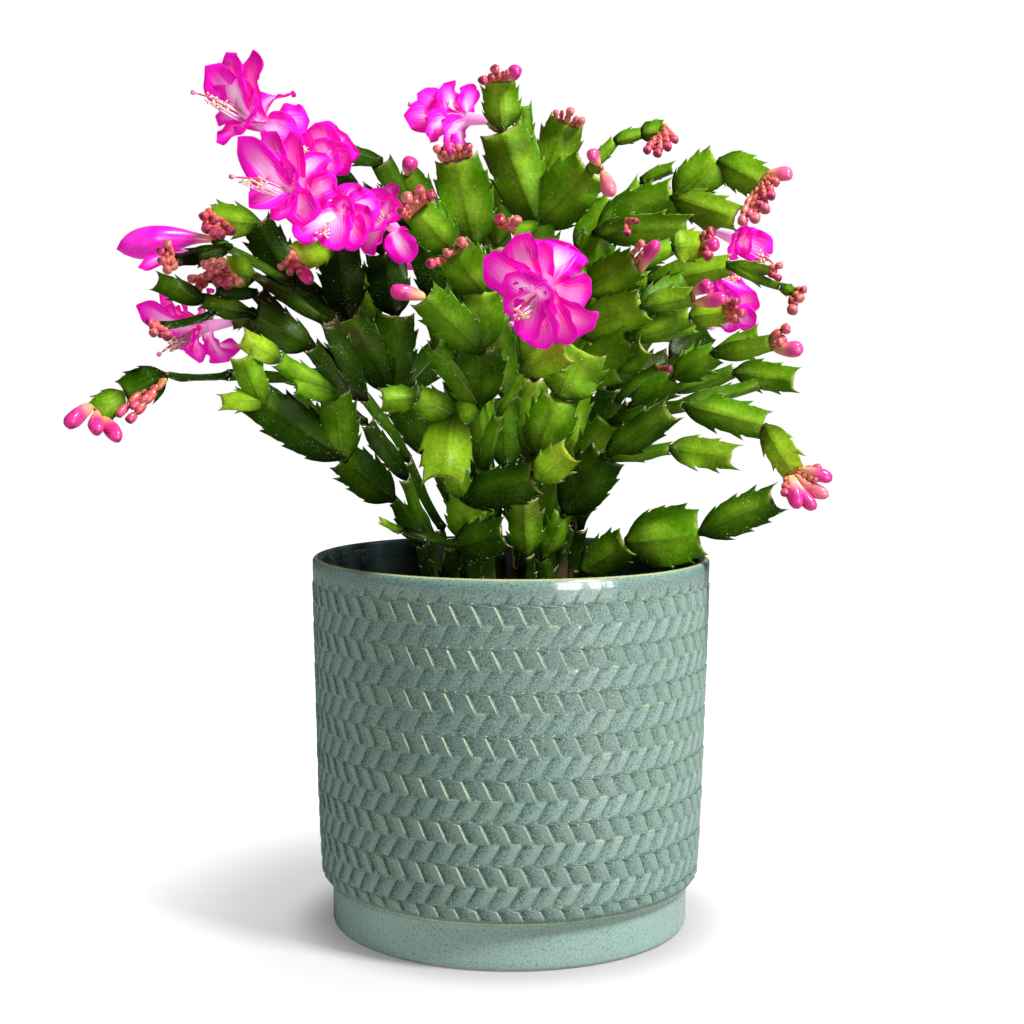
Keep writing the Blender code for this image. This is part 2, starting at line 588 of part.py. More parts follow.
def drill(mesh, across, back, facing):
    """A prism that cuts the hole of one stem's foot."""
    reach = 2.0
    rings = []
    for height in (SOIL_TOP - STEM_FOOT_DEPTH - CLEARANCE, SOIL_TOP + reach):
        start = facing / (math.pi / 2)
        points = ring(mesh, STEM_FOOT_RADIUS + CLEARANCE * math.sqrt(2), height, 4, start)
        for point in points:
            point.co.x += across
            point.co.y += back
        rings.append(points)
    mesh.faces.new(rings[0][::-1])
    skin(mesh, rings[0], rings[1])
    mesh.faces.new(rings[1])


def foot_turn(start, segment):
    """How far a stem's foot is turned about its own axis, so that its corners meet the segment's."""
    here = Vector((start[1], start[2], SOIL_TOP + STEM_RISE))
    side = blade_frame(here, seen(*segment[:3]), segment[4])[1]
    return math.atan2(side.y, side.x)


def stem_foot(across, back, facing):
    """The two sections of a stem's square foot, which stands in its hole in the soil."""
    sections = []
    for height in (SOIL_TOP - STEM_FOOT_DEPTH, SOIL_TOP):
        corners = []
        for step in (2, 1, 0, 3):
            angle = math.pi * step / 2 + facing
            corners.append(Vector((across + STEM_FOOT_RADIUS * math.cos(angle),
                                   back + STEM_FOOT_RADIUS * math.sin(angle), height)))
        sections.append(tuple(corners))
    return sections


def blade_frame(start, tip, turn):
    """Along the blade, across it and out of its face, which looks to the front at no turn."""
    along = (tip - start).normalized()
    to_eye = Vector((0.0, -EYE_DISTANCE, EYE_HEIGHT)) - (start + tip) / 2
    outward = (to_eye - along * to_eye.dot(along)).normalized()
    side = along.cross(outward)
    angle = math.radians(turn)
    outward, side = (
        outward * math.cos(angle) + side * math.sin(angle),
        side * math.cos(angle) - outward * math.sin(angle),
    )
    return along, side, outward


def rows_for(width):
    """The rows of a segment, more of them for a broad one with teeth that show."""
    if width > BROAD_WIDTH:
        return BROAD_ROWS
    return MIDDLE_ROWS if width > MIDDLE_WIDTH else SLIM_ROWS


def cross_sections(start, tip, after, width, turn, end_row, draw):
    """The sections of one flat segment, each with its two thin edges and its thick midrib.

    The segment is a little folded along its midrib and a little arched. Its last section turns
    halfway to where the next segment goes, after, and is narrower the sharper that turn is."""
    along, side, outward = blade_frame(start, tip, turn)
    length = (tip - start).length
    fold = draw.uniform(0.05, 0.35)
    arch = draw.uniform(-0.05, 0.07)
    sections = []
    for middle, edge, half in rows_for(width):
        bow = outward * (4 * arch * length * middle * (1 - middle))
        heart = start + along * (length * middle) + bow
        margin = start + along * (length * edge) + bow - outward * (fold * half * width * 0.5)
        thick = outward * (SEGMENT_THICKNESS / 2)
        reach = side * (half * width)
        sections.append((margin - reach, heart - thick, margin + reach, heart + thick))
    middle, edge, half = end_row
    ahead = along
    if after is not None:
        onward = (after - tip).normalized()
        half *= 0.35 + 0.65 * max(0.0, along.dot(onward))
        ahead = (along + onward).normalized()
    across = side - ahead * side.dot(ahead)
    reach = across.normalized() * (half * width)
    thick = outward * (SEGMENT_THICKNESS / 2)
    heart = start + along * (length * middle)
    margin = heart + ahead * (length * (edge - middle))
    sections.append((margin - reach, heart - thick, margin + reach, heart + thick))
    return sections


def matched(section, before):
    """The section with its corners in the order that lies closest to the one before."""
    turns = [section[shift:] + section[:shift] for shift in range(4)]
    return min(turns, key=lambda way: sum((a - b).length for a, b in zip(way, before)))


def skinned(sections, point=None):
    """A closed body over four-cornered sections, which may end in a point."""
    mesh = bmesh.new()
    rings = [[mesh.verts.new(place) for place in section] for section in sections]
    mesh.faces.new(rings[0])
    for lower, upper in zip(rings, rings[1:]):
        skin(mesh, lower, upper)
    if point is None:
        mesh.faces.new(rings[-1])
    else:
        tip = mesh.verts.new(point)
        for corner in range(4):
            mesh.faces.new((rings[-1][corner], rings[-1][(corner + 1) % 4], tip))
    bmesh.ops.triangulate(mesh, faces=mesh.faces)
    bmesh.ops.recalc_face_normals(mesh, faces=mesh.faces)
    return mesh


def branch(stem, number, start, segments, draw):
    """The bodies of one branch, whose segments are each narrow where they grow from the last.

    A branch that starts in the soil has its foot there, and another starts inside its joint. So
    does a segment after a sharp turn, in a body of its own."""
    places = [seen(*segment[:3]) for segment in segments]
    sections = []
    bodies = []
    if start[0] == "soil":
        here = Vector((start[1], start[2], SOIL_TOP + STEM_RISE))
        sections = stem_foot(start[1], start[2], foot_turn(start, segments[0]))
    else:
        here = seen(*STEMS[stem][start[0]][1 + start[1]][:3])
        here -= (places[0] - here).normalized() * SEGMENT_OVERLAP
    for order, there in enumerate(places):
        after = places[order + 1] if order + 1 < len(places) else None
        end_row = JOINT_ROW
        if after is None:
            end_row = BEARING_ROW if (stem, number, order) in BEARERS else END_ROW
        sharp = after is not None and (there - here).angle(after - there) > math.radians(SHARP_TURN)
        width, turn = segments[order][3:]
        onward = None if sharp else after
        for section in cross_sections(here, there, onward, width, turn, end_row, draw):
            sections.append(matched(section, sections[-1]) if sections else section)
        here = there
        if sharp:
            bodies.append(skinned(sections))
            sections = []
            here = there - (after - there).normalized() * SEGMENT_OVERLAP
    bodies.append(skinned(sections))
    return bodies


def spindle(root, tip, half_width, stages, sides, turn=0.0):
    """A round body along a line: stages are how far along each ring is and its share of the
    half width, with a point at each end."""
    along = (tip - root).normalized()
    side = along.orthogonal().normalized()
    other = along.cross(side)
    mesh = bmesh.new()
    first = mesh.verts.new(root)
    last = mesh.verts.new(tip)
    rings = []
    for share, size in stages:
        points = []
        for step in range(sides):
            angle = 2 * math.pi * (step + turn) / sides
            way = side * math.cos(angle) + other * math.sin(angle)
            points.append(mesh.verts.new(root + (tip - root) * share + way * (size * half_width)))
        rings.append(points)
    for step in range(sides):
        after = (step + 1) % sides
        mesh.faces.new((first, rings[0][after], rings[0][step]))
        mesh.faces.new((last, rings[-1][step], rings[-1][after]))
    for lower, upper in zip(rings, rings[1:]):
        skin(mesh, lower, upper)
    return mesh


def make_stem(name, branches, finish):
    """All the branches of one leafy stem, fused, with the small buds that it carries."""
    draw = random.Random(name)
    bodies = []
    for number, (start, *segments) in enumerate(branches):
        bodies.extend(branch(name, number, start, segments, draw))
    for bearer, buds in SMALL_BUDS:
        if bearer[0] == name:
            bodies.extend(bud_fan(bearer, buds, -SUNK_ROOT))
    return fuse(name, bodies, finish)


def end_of(bearer):
    """The tip of a segment, the ways along and across it there, and its width."""
    stem, number, order = bearer
    start, *segments = STEMS[stem][number]
    tip = seen(*segments[order][:3])
    if order > 0:
        before = seen(*segments[order - 1][:3])
    else:
        before = seen(*STEMS[stem][start[0]][1 + start[1]][:3])
    width, turn = segments[order][3:]
    along, side, outward = blade_frame(before, tip, turn)
    return tip, along, side, width


def petal(root, tip, width, axis):
    """One petal: a thin pointed blade from the tube, arching out and back to its tip."""
    along = (tip - root).normalized()
    side = along.cross(axis)
    side = side.normalized() if side.length > 0.05 else along.orthogonal().normalized()
    outward = side.cross(along).normalized()
    length = (tip - root).length
    sections = []
    for share, half, bow in ((0.0, 0.14, 0.0), (0.52, 0.50, 0.15), (0.86, 0.34, 0.09)):
        heart = root + along * (length * share) + outward * (bow * length)
        reach = side * (half * width)
        thick = outward * (PETAL_THICKNESS / 2)
        cup = outward * (0.12 * width * half)
        sections.append((heart - reach + cup, heart - thick, heart + reach + cup, heart + thick))
    return skinned(sections, tip)


def make_bloom(name, bearer, mouth, stigma, tips, petal_finish, stamen_finish):
    """One bloom: its tube and petals as one body, and its stamens and style as another.

    Of a bloom that mostly hides, the stamens are in the same body."""
    end, along, side, width = end_of(bearer)
    base, mouth, stigma = end + along * (2 * CLEARANCE), seen(*mouth), seen(*stigma)
    axis = (mouth - base).normalized()
    bodies = [spindle(base, mouth, TUBE_RADIUS, ((0.25, 0.7), (0.9, 1.0)), TUBE_SIDES)]
    for number, (across, up, depth, petal_width) in enumerate(tips):
        tip = seen(across, up, depth)
        outwards = tip - mouth
        outwards = (outwards - axis * outwards.dot(axis)).normalized()
        back = UPPER_WHORL if number % 2 else LOWER_WHORL
        root = mouth - axis * (back * (mouth - base).length) + outwards * (TUBE_RADIUS * 0.4)
        bodies.append(petal(root, tip, petal_width, axis))
    apart = name in OPEN_BLOOMS
    foot = mouth + axis * (2 * CLEARANCE if apart else -TUBE_RADIUS)
    stages = ((0.2, 0.35), (0.45, 1.0), (0.62, 0.25), (0.86, 0.2), (0.94, 0.65))
    stamens = spindle(foot, stigma, STAMEN_RADIUS, stages, STAMEN_SIDES)
    if apart:
        add_object(name + "_stamens", stamens, stamen_finish)
    else:
        bodies.append(stamens)
    fuse(name, bodies, petal_finish)


def bud_fan(bearer, tips, gap):
    """The bodies of a fan of teardrop buds, side by side along the end of a segment, with the
    short stalk that they share. A bud that is alone has none."""
    end, along, side, width = end_of(bearer)
    alone = len(tips) == 1
    middle = end + along * (gap if alone else gap + FAN_ROW_RADIUS)
    ends = sorted((seen(*tip[:3]) for tip in tips), key=lambda point: (point - end).dot(side))
    sizes = {tuple(seen(*tip[:3])): tip[3] for tip in tips}
    reach = side * (FAN_REACH * width)
    bodies = []
    if not alone:
        bodies.append(spindle(middle - reach, middle + reach, FAN_ROW_RADIUS, ((0.5, 1.0),), 4))
    for order, tip in enumerate(ends):
        share = 0 if alone else 2 * order / (len(tips) - 1) - 1
        root = middle + reach * (0.8 * share)
        bodies.append(spindle(root, tip, sizes[tuple(tip)], ((0.35, 0.75), (0.75, 1.0)), BUD_SIDES))
    return bodies


BEARERS = {bearer for bearer, buds in BUD_FANS.values()}
BEARERS |= {bearer for bearer, buds in SMALL_BUDS}
BEARERS |= {bloom[0] for bloom in BLOOMS.values()}


def main():
    """Build every piece of the potted plant."""
    for old in list(bpy.data.objects):
        bpy.data.objects.remove(old)
    make_pot()
    make_soil()
    green = material("stem_green", (0.11, 0.23, 0.02), 0.4)
    magenta = material("petal_magenta", (0.80, 0.02, 0.52), 0.45)
    pale = material("stamen_pale", (0.90, 0.62, 0.66), 0.5)
    coral = material("bud_coral", (0.78, 0.30, 0.27), 0.4)
    for name, branches in STEMS.items():
        make_stem(name, branches, green)
    for name, (bearer, mouth, stigma, tips) in BLOOMS.items():
        make_bloom(name, bearer, mouth, stigma, tips, magenta, pale)
    for name, (bearer, tips) in BUD_FANS.items():
        fuse(name, bud_fan(bearer, tips, CLEARANCE), coral)


main()
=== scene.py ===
"""The looks of a christmas cactus in bloom, in its round glazed pot.

Every piece is built in millimetres from listed places, in the same frame as the solids that
it stands for, and turned into metres when its mesh is made. A place on the plant is three numbers:
how far across and how far up it shows from the front, measured in the upright plane through the
pot's axis, and how far behind (+) or before (-) that plane it lies.
"""
import math
import random
from types import SimpleNamespace

import bpy
import numpy as np
from mathutils import Euler, Matrix, Vector


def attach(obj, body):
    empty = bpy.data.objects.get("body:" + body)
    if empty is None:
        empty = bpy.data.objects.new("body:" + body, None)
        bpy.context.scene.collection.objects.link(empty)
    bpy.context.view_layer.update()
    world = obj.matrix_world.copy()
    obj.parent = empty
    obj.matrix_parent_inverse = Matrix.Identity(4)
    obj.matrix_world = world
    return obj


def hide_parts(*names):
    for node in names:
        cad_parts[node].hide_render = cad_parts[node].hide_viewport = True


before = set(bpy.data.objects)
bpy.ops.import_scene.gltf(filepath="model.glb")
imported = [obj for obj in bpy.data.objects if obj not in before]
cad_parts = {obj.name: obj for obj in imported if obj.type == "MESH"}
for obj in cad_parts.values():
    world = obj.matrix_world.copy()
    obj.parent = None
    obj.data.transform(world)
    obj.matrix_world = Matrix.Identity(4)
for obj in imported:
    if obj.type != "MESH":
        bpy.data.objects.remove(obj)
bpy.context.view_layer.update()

MM = 0.001

# A turn as the random waves take it
WAVE_TURN = 6.28

# The place that the plant is described from, straight in front of the pot's axis
EYE_DISTANCE = 693.6
EYE_HEIGHT = 218.6

# The camera
CAMERA_ACROSS = 0.27
CAMERA_LENS = 64.27
CAMERA_SENSOR = 36.0
CAMERA_PITCH = math.radians(-5.12)
CAMERA_ROLL = math.radians(0.26)

# The light that comes from all round, and the table's own glow: how much it has at the pot's foot,
# how much is added close by and how much further off, and the distances from the axis, in metres,
# over which that happens. The glow is low by the foot, a painted shadow round the pot, and full
# further off, where it paints over the shadows that fall there
ROOM_LIGHT = 0.045
CONTACT_GLOW = 0.20
NEAR_GLOW = 0.34
FAR_GLOW = 0.46
CONTACT_RADIUS = 0.066
NEAR_RADIUS = 0.090
FAR_START = 0.088
FAR_RADIUS = 0.180

# The table, in metres, and its two nearly equal greys
TABLE_REACH = 6.0
TABLE_GREY = (0.32, 0.32, 0.32)
TABLE_LIGHT_GREY = (0.34, 0.34, 0.34)
TABLE_ROUGHNESS = 0.75

# The lamps: where each stands and what it is turned to, in metres, its width and height, and its
# power. The walls only light, and the panes only show as reflections.
LAMPS = (
    ("window_right", (0.68, -0.48, 1.12), (0, 0, 0.18), (0.26, 0.26), 27.5),
    ("wall_front", (0.74, -0.66, 0.16), (0, 0, 0.14), (0.28, 0.34), 2.1),
    ("wall_left", (-0.95, -0.46, 0.07), (0, 0, 0.02), (0.5, 0.2), 4.4),
    ("wall_back", (0.30, 0.90, 0.90), (0, 0, 0.22), (0.6, 0.6), 6.0),
    ("pane_1", (0.52, -0.85, 0.27), (0, 0, 0.14), (0.26, 0.56), 6.5),
    ("pane_2", (0.71, -0.70, 0.27), (0, 0, 0.14), (0.12, 0.56), 3.0),
    ("pane_3", (0.81, -0.58, 0.24), (0, 0, 0.14), (0.07, 0.44), 1.3),
)

# The pot's body
POT_HEIGHT = 140.0
FOOT_RADIUS = 68.0
FOOT_HEIGHT = 18.0
SHOULDER_RADIUS = 71.3
BODY_RADIUS = 75.4
SWELL_POWER = 0.6
WALL = 4.0
FLOOR_THICKNESS = 7.0
INSIDE_FLOOR_RADIUS = 63.0

# How its foot, its shoulder and its rim are rounded
FOOT_INSET = 6.0
FOOT_ROUNDING = 1.5
FOOT_STEPS = (0.5, 1.0, 1.57)
FOOT_HEIGHTS = (4.0, 8.0, 12.0, 15.0)
SHOULDER_PROFILE = (
    (FOOT_RADIUS + 0.3, 16.2), (FOOT_RADIUS + 1.2, 17.0), (SHOULDER_RADIUS - 1.0, 17.8),
    (SHOULDER_RADIUS - 0.2, 18.5),
)
RIM_ROUNDING = 1.6
RIM_START = 0.2
RIM_STEPS = 9

# Its herringbone relief: rows of slanting cells, which lean one way and the other by turns
RELIEF_BOTTOM = 19.2
RELIEF_TOP = 136.5
FIRST_ROW = 131.3
ROWS = 15
ROW_HEIGHT = 7.68
ROW_POINTS = 8
CELLS = 60
CELL_DEGREES = 6.0
CELL_SHARES = (0, 0.03, 0.07, 0.15, 0.25, 0.36, 0.44, 0.5, 0.53, 0.57, 0.65, 0.75, 0.86, 0.94)
FALL = 0.07
RELIEF_DEPTH = 0.80
DEEPER_BELOW = 0.45
BACK_LEAN = 0.46
FRONT_LEAN = -0.5867
FIRST_SLIP = 1.41
PAIR_SLIP = -0.76
ODD_SLIP = -0.24
ABOVE_FADE = 0.1
ODD_FADE = 0.9
END_HEIGHT = 0.35
END_SHARE = 0.16
# Below the first of these heights the relief deepens, and its crests grow softer
DEEPER_FROM = 95.0
DEEPEST_FROM = 45.0
CREST_POWER = 1.3
CREST_SOFTER = 0.5

# The soil: its top, how far it stays from the wall and the floor and is drawn in below, its rings,
# and the width and the height of the waves on it
SOIL_TOP = 122.0
SOIL_SLACK = 1.4
SOIL_GAP = 0.5
SOIL_INSET = 1.5
SOIL_EDGE = 4.0
SOIL_MIDDLE = 0.03
SOIL_SIDES = 96
SOIL_RINGS = 42
SOIL_WAVES = ((16.0, 0.8), (7.0, 0.7), (3.4, 0.5))
WAVES_OF_A_SIZE = 5

# The loose crumbs on the soil
CRUMBS = 420
CRUMB_RADII = (0, 0.7, 1, 0.95, 0.6, 0)
CRUMB_LENGTHS = (0.8, 2.4)
CRUMB_SIZES = (0.5, 1.3)
PALE_CRUMBS = 0.06
CRUMB_SHADES = (0.1, 0.7)
CRUMB_REACH = 0.97
CRUMB_RISE = 0.3
CRUMB_RIDGE = 0.15
CRUMB_TWIST = 3.0

# The pot's wall on the inside, from below the rim to the floor
INSIDE_PROFILE = (
    (BODY_RADIUS - WALL, POT_HEIGHT - 3.0), (BODY_RADIUS - WALL - 0.4, 132.0),
    (BODY_RADIUS - WALL - 0.8, SOIL_TOP), (INSIDE_FLOOR_RADIUS + 2.0, 30.0),
    (INSIDE_FLOOR_RADIUS, FLOOR_THICKNESS),
)

# How high a stem starts above the soil, and how deep its foot goes into it
STEM_RISE = 2.0
FOOT_SUNK = 9.0
FOOT_SHARES = (0, 0.05, 0.5, 0.95, 1)
FOOT_RADII = (0, 1.9, 2.0, 1.7, 0)
FOOT_RIDGE = 0.08
FOOT_TWIST = 2.0

# The flat stem segments: the points across one, and the widths above which it has more teeth
SEGMENT_OVERLAP = 1.5
COLUMNS = np.array((-1, -0.93, -0.78, -0.55, -0.3, -0.11, 0, 0.11, 0.3, 0.55, 0.78, 0.93, 1))
BROAD_WIDTH = 13.5
MIDDLE_WIDTH = 9.5

# The outline of a segment without its teeth: half its width at each share of its length, and how
# far its edge runs ahead of its midrib there
FIRST_SHARE = -0.03
LAST_SHARE = 0.985
ROW_SLACK = 0.001
BROAD_HALF = (
    (-0.03, 0.08), (0.03, 0.15), (0.09, 0.27), (0.17, 0.38), (0.27, 0.455), (0.40, 0.485), (0.52, 0.475),
    (0.66, 0.475), (0.80, 0.430), (0.90, 0.395), (0.985, 0.395),
)
SLIM_HALF = (
    (-0.03, 0.17), (0.05, 0.28), (0.16, 0.39), (0.34, 0.47), (0.52, 0.48), (0.70, 0.45), (0.84, 0.41),
    (0.985, 0.41),
)
EDGE_AHEAD = ((-0.03, 0.0), (0.09, 0.0), (0.30, 0.02), (0.60, 0.045), (0.80, 0.05), (0.985, 0.06))

# The teeth: the shares of the length where their points stand on a broad, a middle and a slim
# segment, how far these stray, and the length from which the teeth are full size
TEETH = {"broad": (0.26, 0.49, 0.74), "middle": (0.36, 0.68), "slim": (0.56,)}
TOOTH_STRAY = 0.025
TOOTH_SIZES = (0.5, 1.15)
FULL_TOOTH_LENGTH = 18.0
EVEN_ROWS = 20
CLEAR_BEFORE = 0.10
CLEAR_AFTER = 0.13
# A tooth's rows: where they lie around its point, how far they run ahead there and how far they
# stand out, in millimetres, and which of them is the notch behind the point
TOOTH_ROWS = (
    (-0.085, 0.0, 0.0), (-0.040, 0.55, 0.50), (-0.014, 1.65, 1.00), (0.0, 2.75, 1.40), (0.014, 0.60, -0.35),
    (0.050, 0.10, -0.60), (0.10, 0.0, 0.0),
)
NOTCH = TOOTH_ROWS[4][0]
# How much of a tooth shows at each share of the way out to the edge
TOOTH_DEPTHS = (0, 0.78, 0.93, 1.0)
TOOTH_PARTS = (0, 0.0, 0.22, 1.0)

# The horns at a segment's end, how much ahead of the midrib they run on one that goes on, and on
# one that ends a branch
PLAIN_HORN = 1.045
LAST_HORNS = (1.09, 1.16)
HORN_STRAY = (-0.02, 0.03)
HORN_START = 0.80
END_BEND = 2.2
END_BEND_MORE = 2.5
RAGGED = 0.012
RAGGED_PLACES = (0, 0.2, 0.4, 0.7, 1)
RAGGED_START = 0.93

# How a segment swells, folds along its midrib, arches, waves, twists and curls
SWELLS = (0.94, 1.05)
SWELL_WAVES = (-0.05, 0.05)
SWELL_PHASES = (0, 6)
FOLDS = (0.05, 0.35)
FOLD_DEPTH = 0.85
FOLD_POWER = 1.25
ARCHES = (-0.05, 0.07)
WAVES = (0.03, 0.08)
WAVE_COUNTS = (0.8, 1.8)
TWISTS = (-0.25, 0.25)
CURLS = (-0.02, 0.05)
CURL_START = 0.7
WAVE_FULL = 0.3

# Half the thickness of a segment, of its midrib and of its neck
BODY_THICKNESS = 0.66
YOUNG_THINNER = 0.14
RIB_THICKNESS = 0.70
RIB_THINNER = 0.40
RIB_WIDTH = 1.7
NECK_THICKNESS = 0.9
NECK_SHARE = 0.12

# The areoles, the woolly dots in the notches: how many notches have one, and what they are made of
AREOLE_SHARE = 0.3
END_AREOLES = (-0.5, 0.45)
WOOL_RADII = (0, 0.22, 0.30, 0.22, 0)
WOOL_HALF = 0.35
BRISTLE_RADII = (0, 0.07, 0.05, 0)
BRISTLE_LENGTHS = (0.7, 1.5)
BRISTLE_STRAY = 0.6
MOST_BRISTLES = 2

# What the fourth painted value says of a stem: skin, wood or wool
LEAF, WOOD, WOOL = 0.0, 0.5, 1.0
FIRST_WOODY = 0.9
WOOD_FADE = (0.1, 0.8)

# The buds: from which half width a bud is large, and from which it is the great one
BUD_SIDES = 14
BUD_RINGS = 18
LARGE_BUD = 2.25
GREAT_GIRTH = 5.0
BUD_PROFILE = (
    (0, 0.25), (0.06, 0.42), (0.2, 0.66), (0.4, 0.88), (0.6, 1.0), (0.76, 0.97), (0.88, 0.80), (0.96, 0.45),
    (1.0, 0.0),
)
GREAT_PROFILE = (
    (0, 0.16), (0.08, 0.24), (0.2, 0.34), (0.36, 0.62), (0.55, 0.92), (0.7, 1.0), (0.84, 0.82), (0.94, 0.44),
    (0.985, 0.18), (1.0, 0.0),
)
BUD_BOW = 0.06
BUD_RIDGE = 0.07
BUD_TWISTS = (2, 5)
# What the second painted value says of a bud: great, large or small
GREAT_KIND = 2.0
LARGE_KIND = 1.0
SMALL_KINDS = (0, 0.35)
BETWEEN_KINDS = (0, 0.4)
# A small bud is a few beads in a row
BEADS = (2, 4)
BEAD_RINGS = 7
BEAD_LENGTH = 1.9
BEAD_NECK = 0.50
BEAD_FIRST = 0.68
BEAD_POWER = 0.6
# A fan of buds: the stalk that it stands on, how wide it is, and the buds between each two
FAN_ROW_RADIUS = 0.9
FAN_REACH = 0.3
FAN_ROOTS = 0.8
FAN_SUNK = 0.8
SMALL_SUNK = 1.4
FAN_STEPS = 7
STALK_PAINT = (0.0, 0.0, 0.5, 1.0)
LAYERS = (-1, -0.4, 1)
LAYER_GAPS = (1.2, 2.0)
BETWEEN_REACH = (0.45, 0.85)
BETWEEN_SIZES = (0.60, 0.85)
BETWEEN_STRAY = 0.8

# The blooms: the tube, and how far down it each whorl of petals grows
TUBE_RADIUS = 2.6
TUBE_STEPS = 12
TUBE_SHARES = (0, 0.06, 0.3, 0.9, 1)
TUBE_RADII = (0, 1.5, 1.8, TUBE_RADIUS, 0)
TUBE_PAINT = (0.15, 0.4, 0.5, 1)
TUBE_START = 0.6
TUBE_SIDES = 14
TUBE_RIDGE = 0.08
TUBE_TWIST = 1.0
LOWER_WHORL = 0.35
UPPER_WHORL = 0.12
ROOT_OUT = TUBE_RADIUS * 0.4

# A petal
PETAL_ROWS = 24
PETAL_COLUMNS = np.array((-1, -0.82, -0.55, -0.3, -0.12, 0, 0.12, 0.3, 0.55, 0.82, 1))
PETAL_OUTLINE = (
    (0, 0.10), (0.10, 0.24), (0.22, 0.38), (0.36, 0.48), (0.50, 0.54), (0.62, 0.56), (0.74, 0.55),
    (0.84, 0.50), (0.92, 0.40), (0.97, 0.27), (0.99, 0.17), (1.0, 0.04),
)
LEAST_HALF = 0.02
PETAL_BOW = 1.15
PETAL_BOWS = (0.75, 1.1)
PETAL_CUP = 0.30
PETAL_RUFFLE = 0.10
RUFFLE_COUNTS = (1.6, 2.8)
PETAL_GROOVE = 0.35
GROOVE_WIDTH = 0.16
PETAL_THICKNESS = 0.28
TIP_BACK = 0.06
RUFFLE_FADE = (0.2, 0.6)
LEAST_SIDE = 0.05

# The smaller petals between each two: their size, how far out and up they reach, and their width
INNER_SIZE = 0.36
INNER_OUT = 0.72
INNER_UP = 0.62
INNER_WIDTH = 0.3575
INNER_SUNK = 1.0
INNER_ROOT_OUT = TUBE_RADIUS * 0.3
LEAST_WAY = 0.7

# The loose petal below the great bud
LOOSE_ROOT = (-120.5, 253.5, 2)
LOOSE_TIP = (-141.0, 248.2, -2)
LOOSE_WIDTH = 5.0
LOOSE_AXIS = (0.2, 0.9, 0.4)

# The stamens, the style and its divided stigma
STAMEN_COUNT = 26
STAMEN_REACH = (0.48, 0.82)
STAMEN_SPREAD = (0.6, 2.6)
THREAD_SUNK = 2.0
THREAD_RADII = (0,) + (0.19,) * 7 + (0,)
THREAD_SAG = 0.04
THREAD_BOW = 0.9
THREAD_GAP = 0.7
ANTHER_HALF = 0.75
ANTHER_RADII = (0, 0.34, 0.46, 0.46, 0.34, 0)
STYLE_RADII = (0,) + (0.36,) * 11 + (0,)
STYLE_RISE = 0.06
STYLE_PAINT = (1.0, 0.2, 0, 1)
LOBES = 6
LOBE_RADII = (0, 0.36, 0.5, 0.5, 0.34, 0)
LOBE_SUNK = 0.8
LOBE_LENGTH = 2.2
LOBE_SPREAD = 0.75
LOBE_PAINT = (1.0, 0.9, 0, 1)

# The colours of the plant
OLD_GREEN = (0.005, 0.025, 0.0003)
MID_GREEN = (0.066, 0.202, 0.0010)
YOUNG_GREEN = (0.25, 0.42, 0.012)
# The green of the painted light on the flat of a segment
LIT_GREEN = (0.32, 0.55, 0.03)
# The tints of the painted shade at a segment's rim and beside its midrib, and at its base
RIM_SHADE = (0.42, 0.50, 0.30)
BASE_SHADE = (0.08, 0.12, 0.05)
TIP_BROWN = (0.24, 0.13, 0.02)
BLUSH_BROWN = (0.050, 0.018, 0.012)
WORN_EDGE = (0.50, 0.52, 0.28)
SPECK_WHITE = (0.72, 0.78, 0.62)
DRY_TAN = (0.46, 0.32, 0.16)
WOOD_BROWN = (0.10, 0.065, 0.035)
WOOL_CREAM = (0.70, 0.66, 0.50)
BRISTLE_TAN = (0.36, 0.26, 0.12)
PETAL_MAGENTA = (0.88, 0.002, 0.50)
PETAL_EDGE = (0.74, 0.001, 0.38)
PETAL_PINK = (0.92, 0.030, 0.62)
PETAL_WHITE = (0.97, 0.66, 0.90)
BUD_BASE = (0.55, 0.27, 0.06)
BUD_CORAL = (0.68, 0.125, 0.088)
BUD_PINK = (0.80, 0.035, 0.29)
BUD_PALE = (0.96, 0.38, 0.24)
BUD_SEAM = (0.13, 0.012, 0.008)
BUD_YELLOW = (0.82, 0.50, 0.14)
NO_GLOW = (0.0, 0.0, 0.0)
THREAD_WHITE = (0.92, 0.80, 0.84)
THREAD_PINK = (0.88, 0.42, 0.60)
POLLEN_YELLOW = (0.88, 0.80, 0.42)
POLLEN_PEACH = (0.86, 0.52, 0.26)
STYLE_PINK = (0.72, 0.03, 0.26)
STIGMA_PINK = (0.88, 0.22, 0.50)

# The colours of the soil and the pot
SOIL_DARK = (0.016, 0.011, 0.008)
SOIL_BROWN = (0.060, 0.040, 0.026)
SOIL_CHIP = (0.42, 0.36, 0.28)
GLAZE_GREY = (0.190, 0.292, 0.252)
GLAZE_GREEN = (0.160, 0.280, 0.235)
GLAZE_FLECK = (0.034, 0.084, 0.066)
GLAZE_PALE = (0.36, 0.47, 0.41)
# The foot's paler tone, partly the smooth glaze's own and partly painted light against the shade under the
# body
GLAZE_FOOT = (0.40, 0.60, 0.53)
GLAZE_POOL = (0.030, 0.092, 0.072)
GLAZE_DEEP = (0.030, 0.130, 0.100)
GLAZE_TEAL = (0.130, 0.300, 0.270)
GLAZE_DARK = (0.022, 0.070, 0.055)
# Painted shade: the inside of the pot, nearly black
GLAZE_INSIDE_SHADE = (0.004, 0.020, 0.020)
BREAK_CREAM = (0.62, 0.62, 0.25)
BREAK_GREEN = (0.36, 0.48, 0.40)
BARE_CLAY = (0.60, 0.50, 0.28)

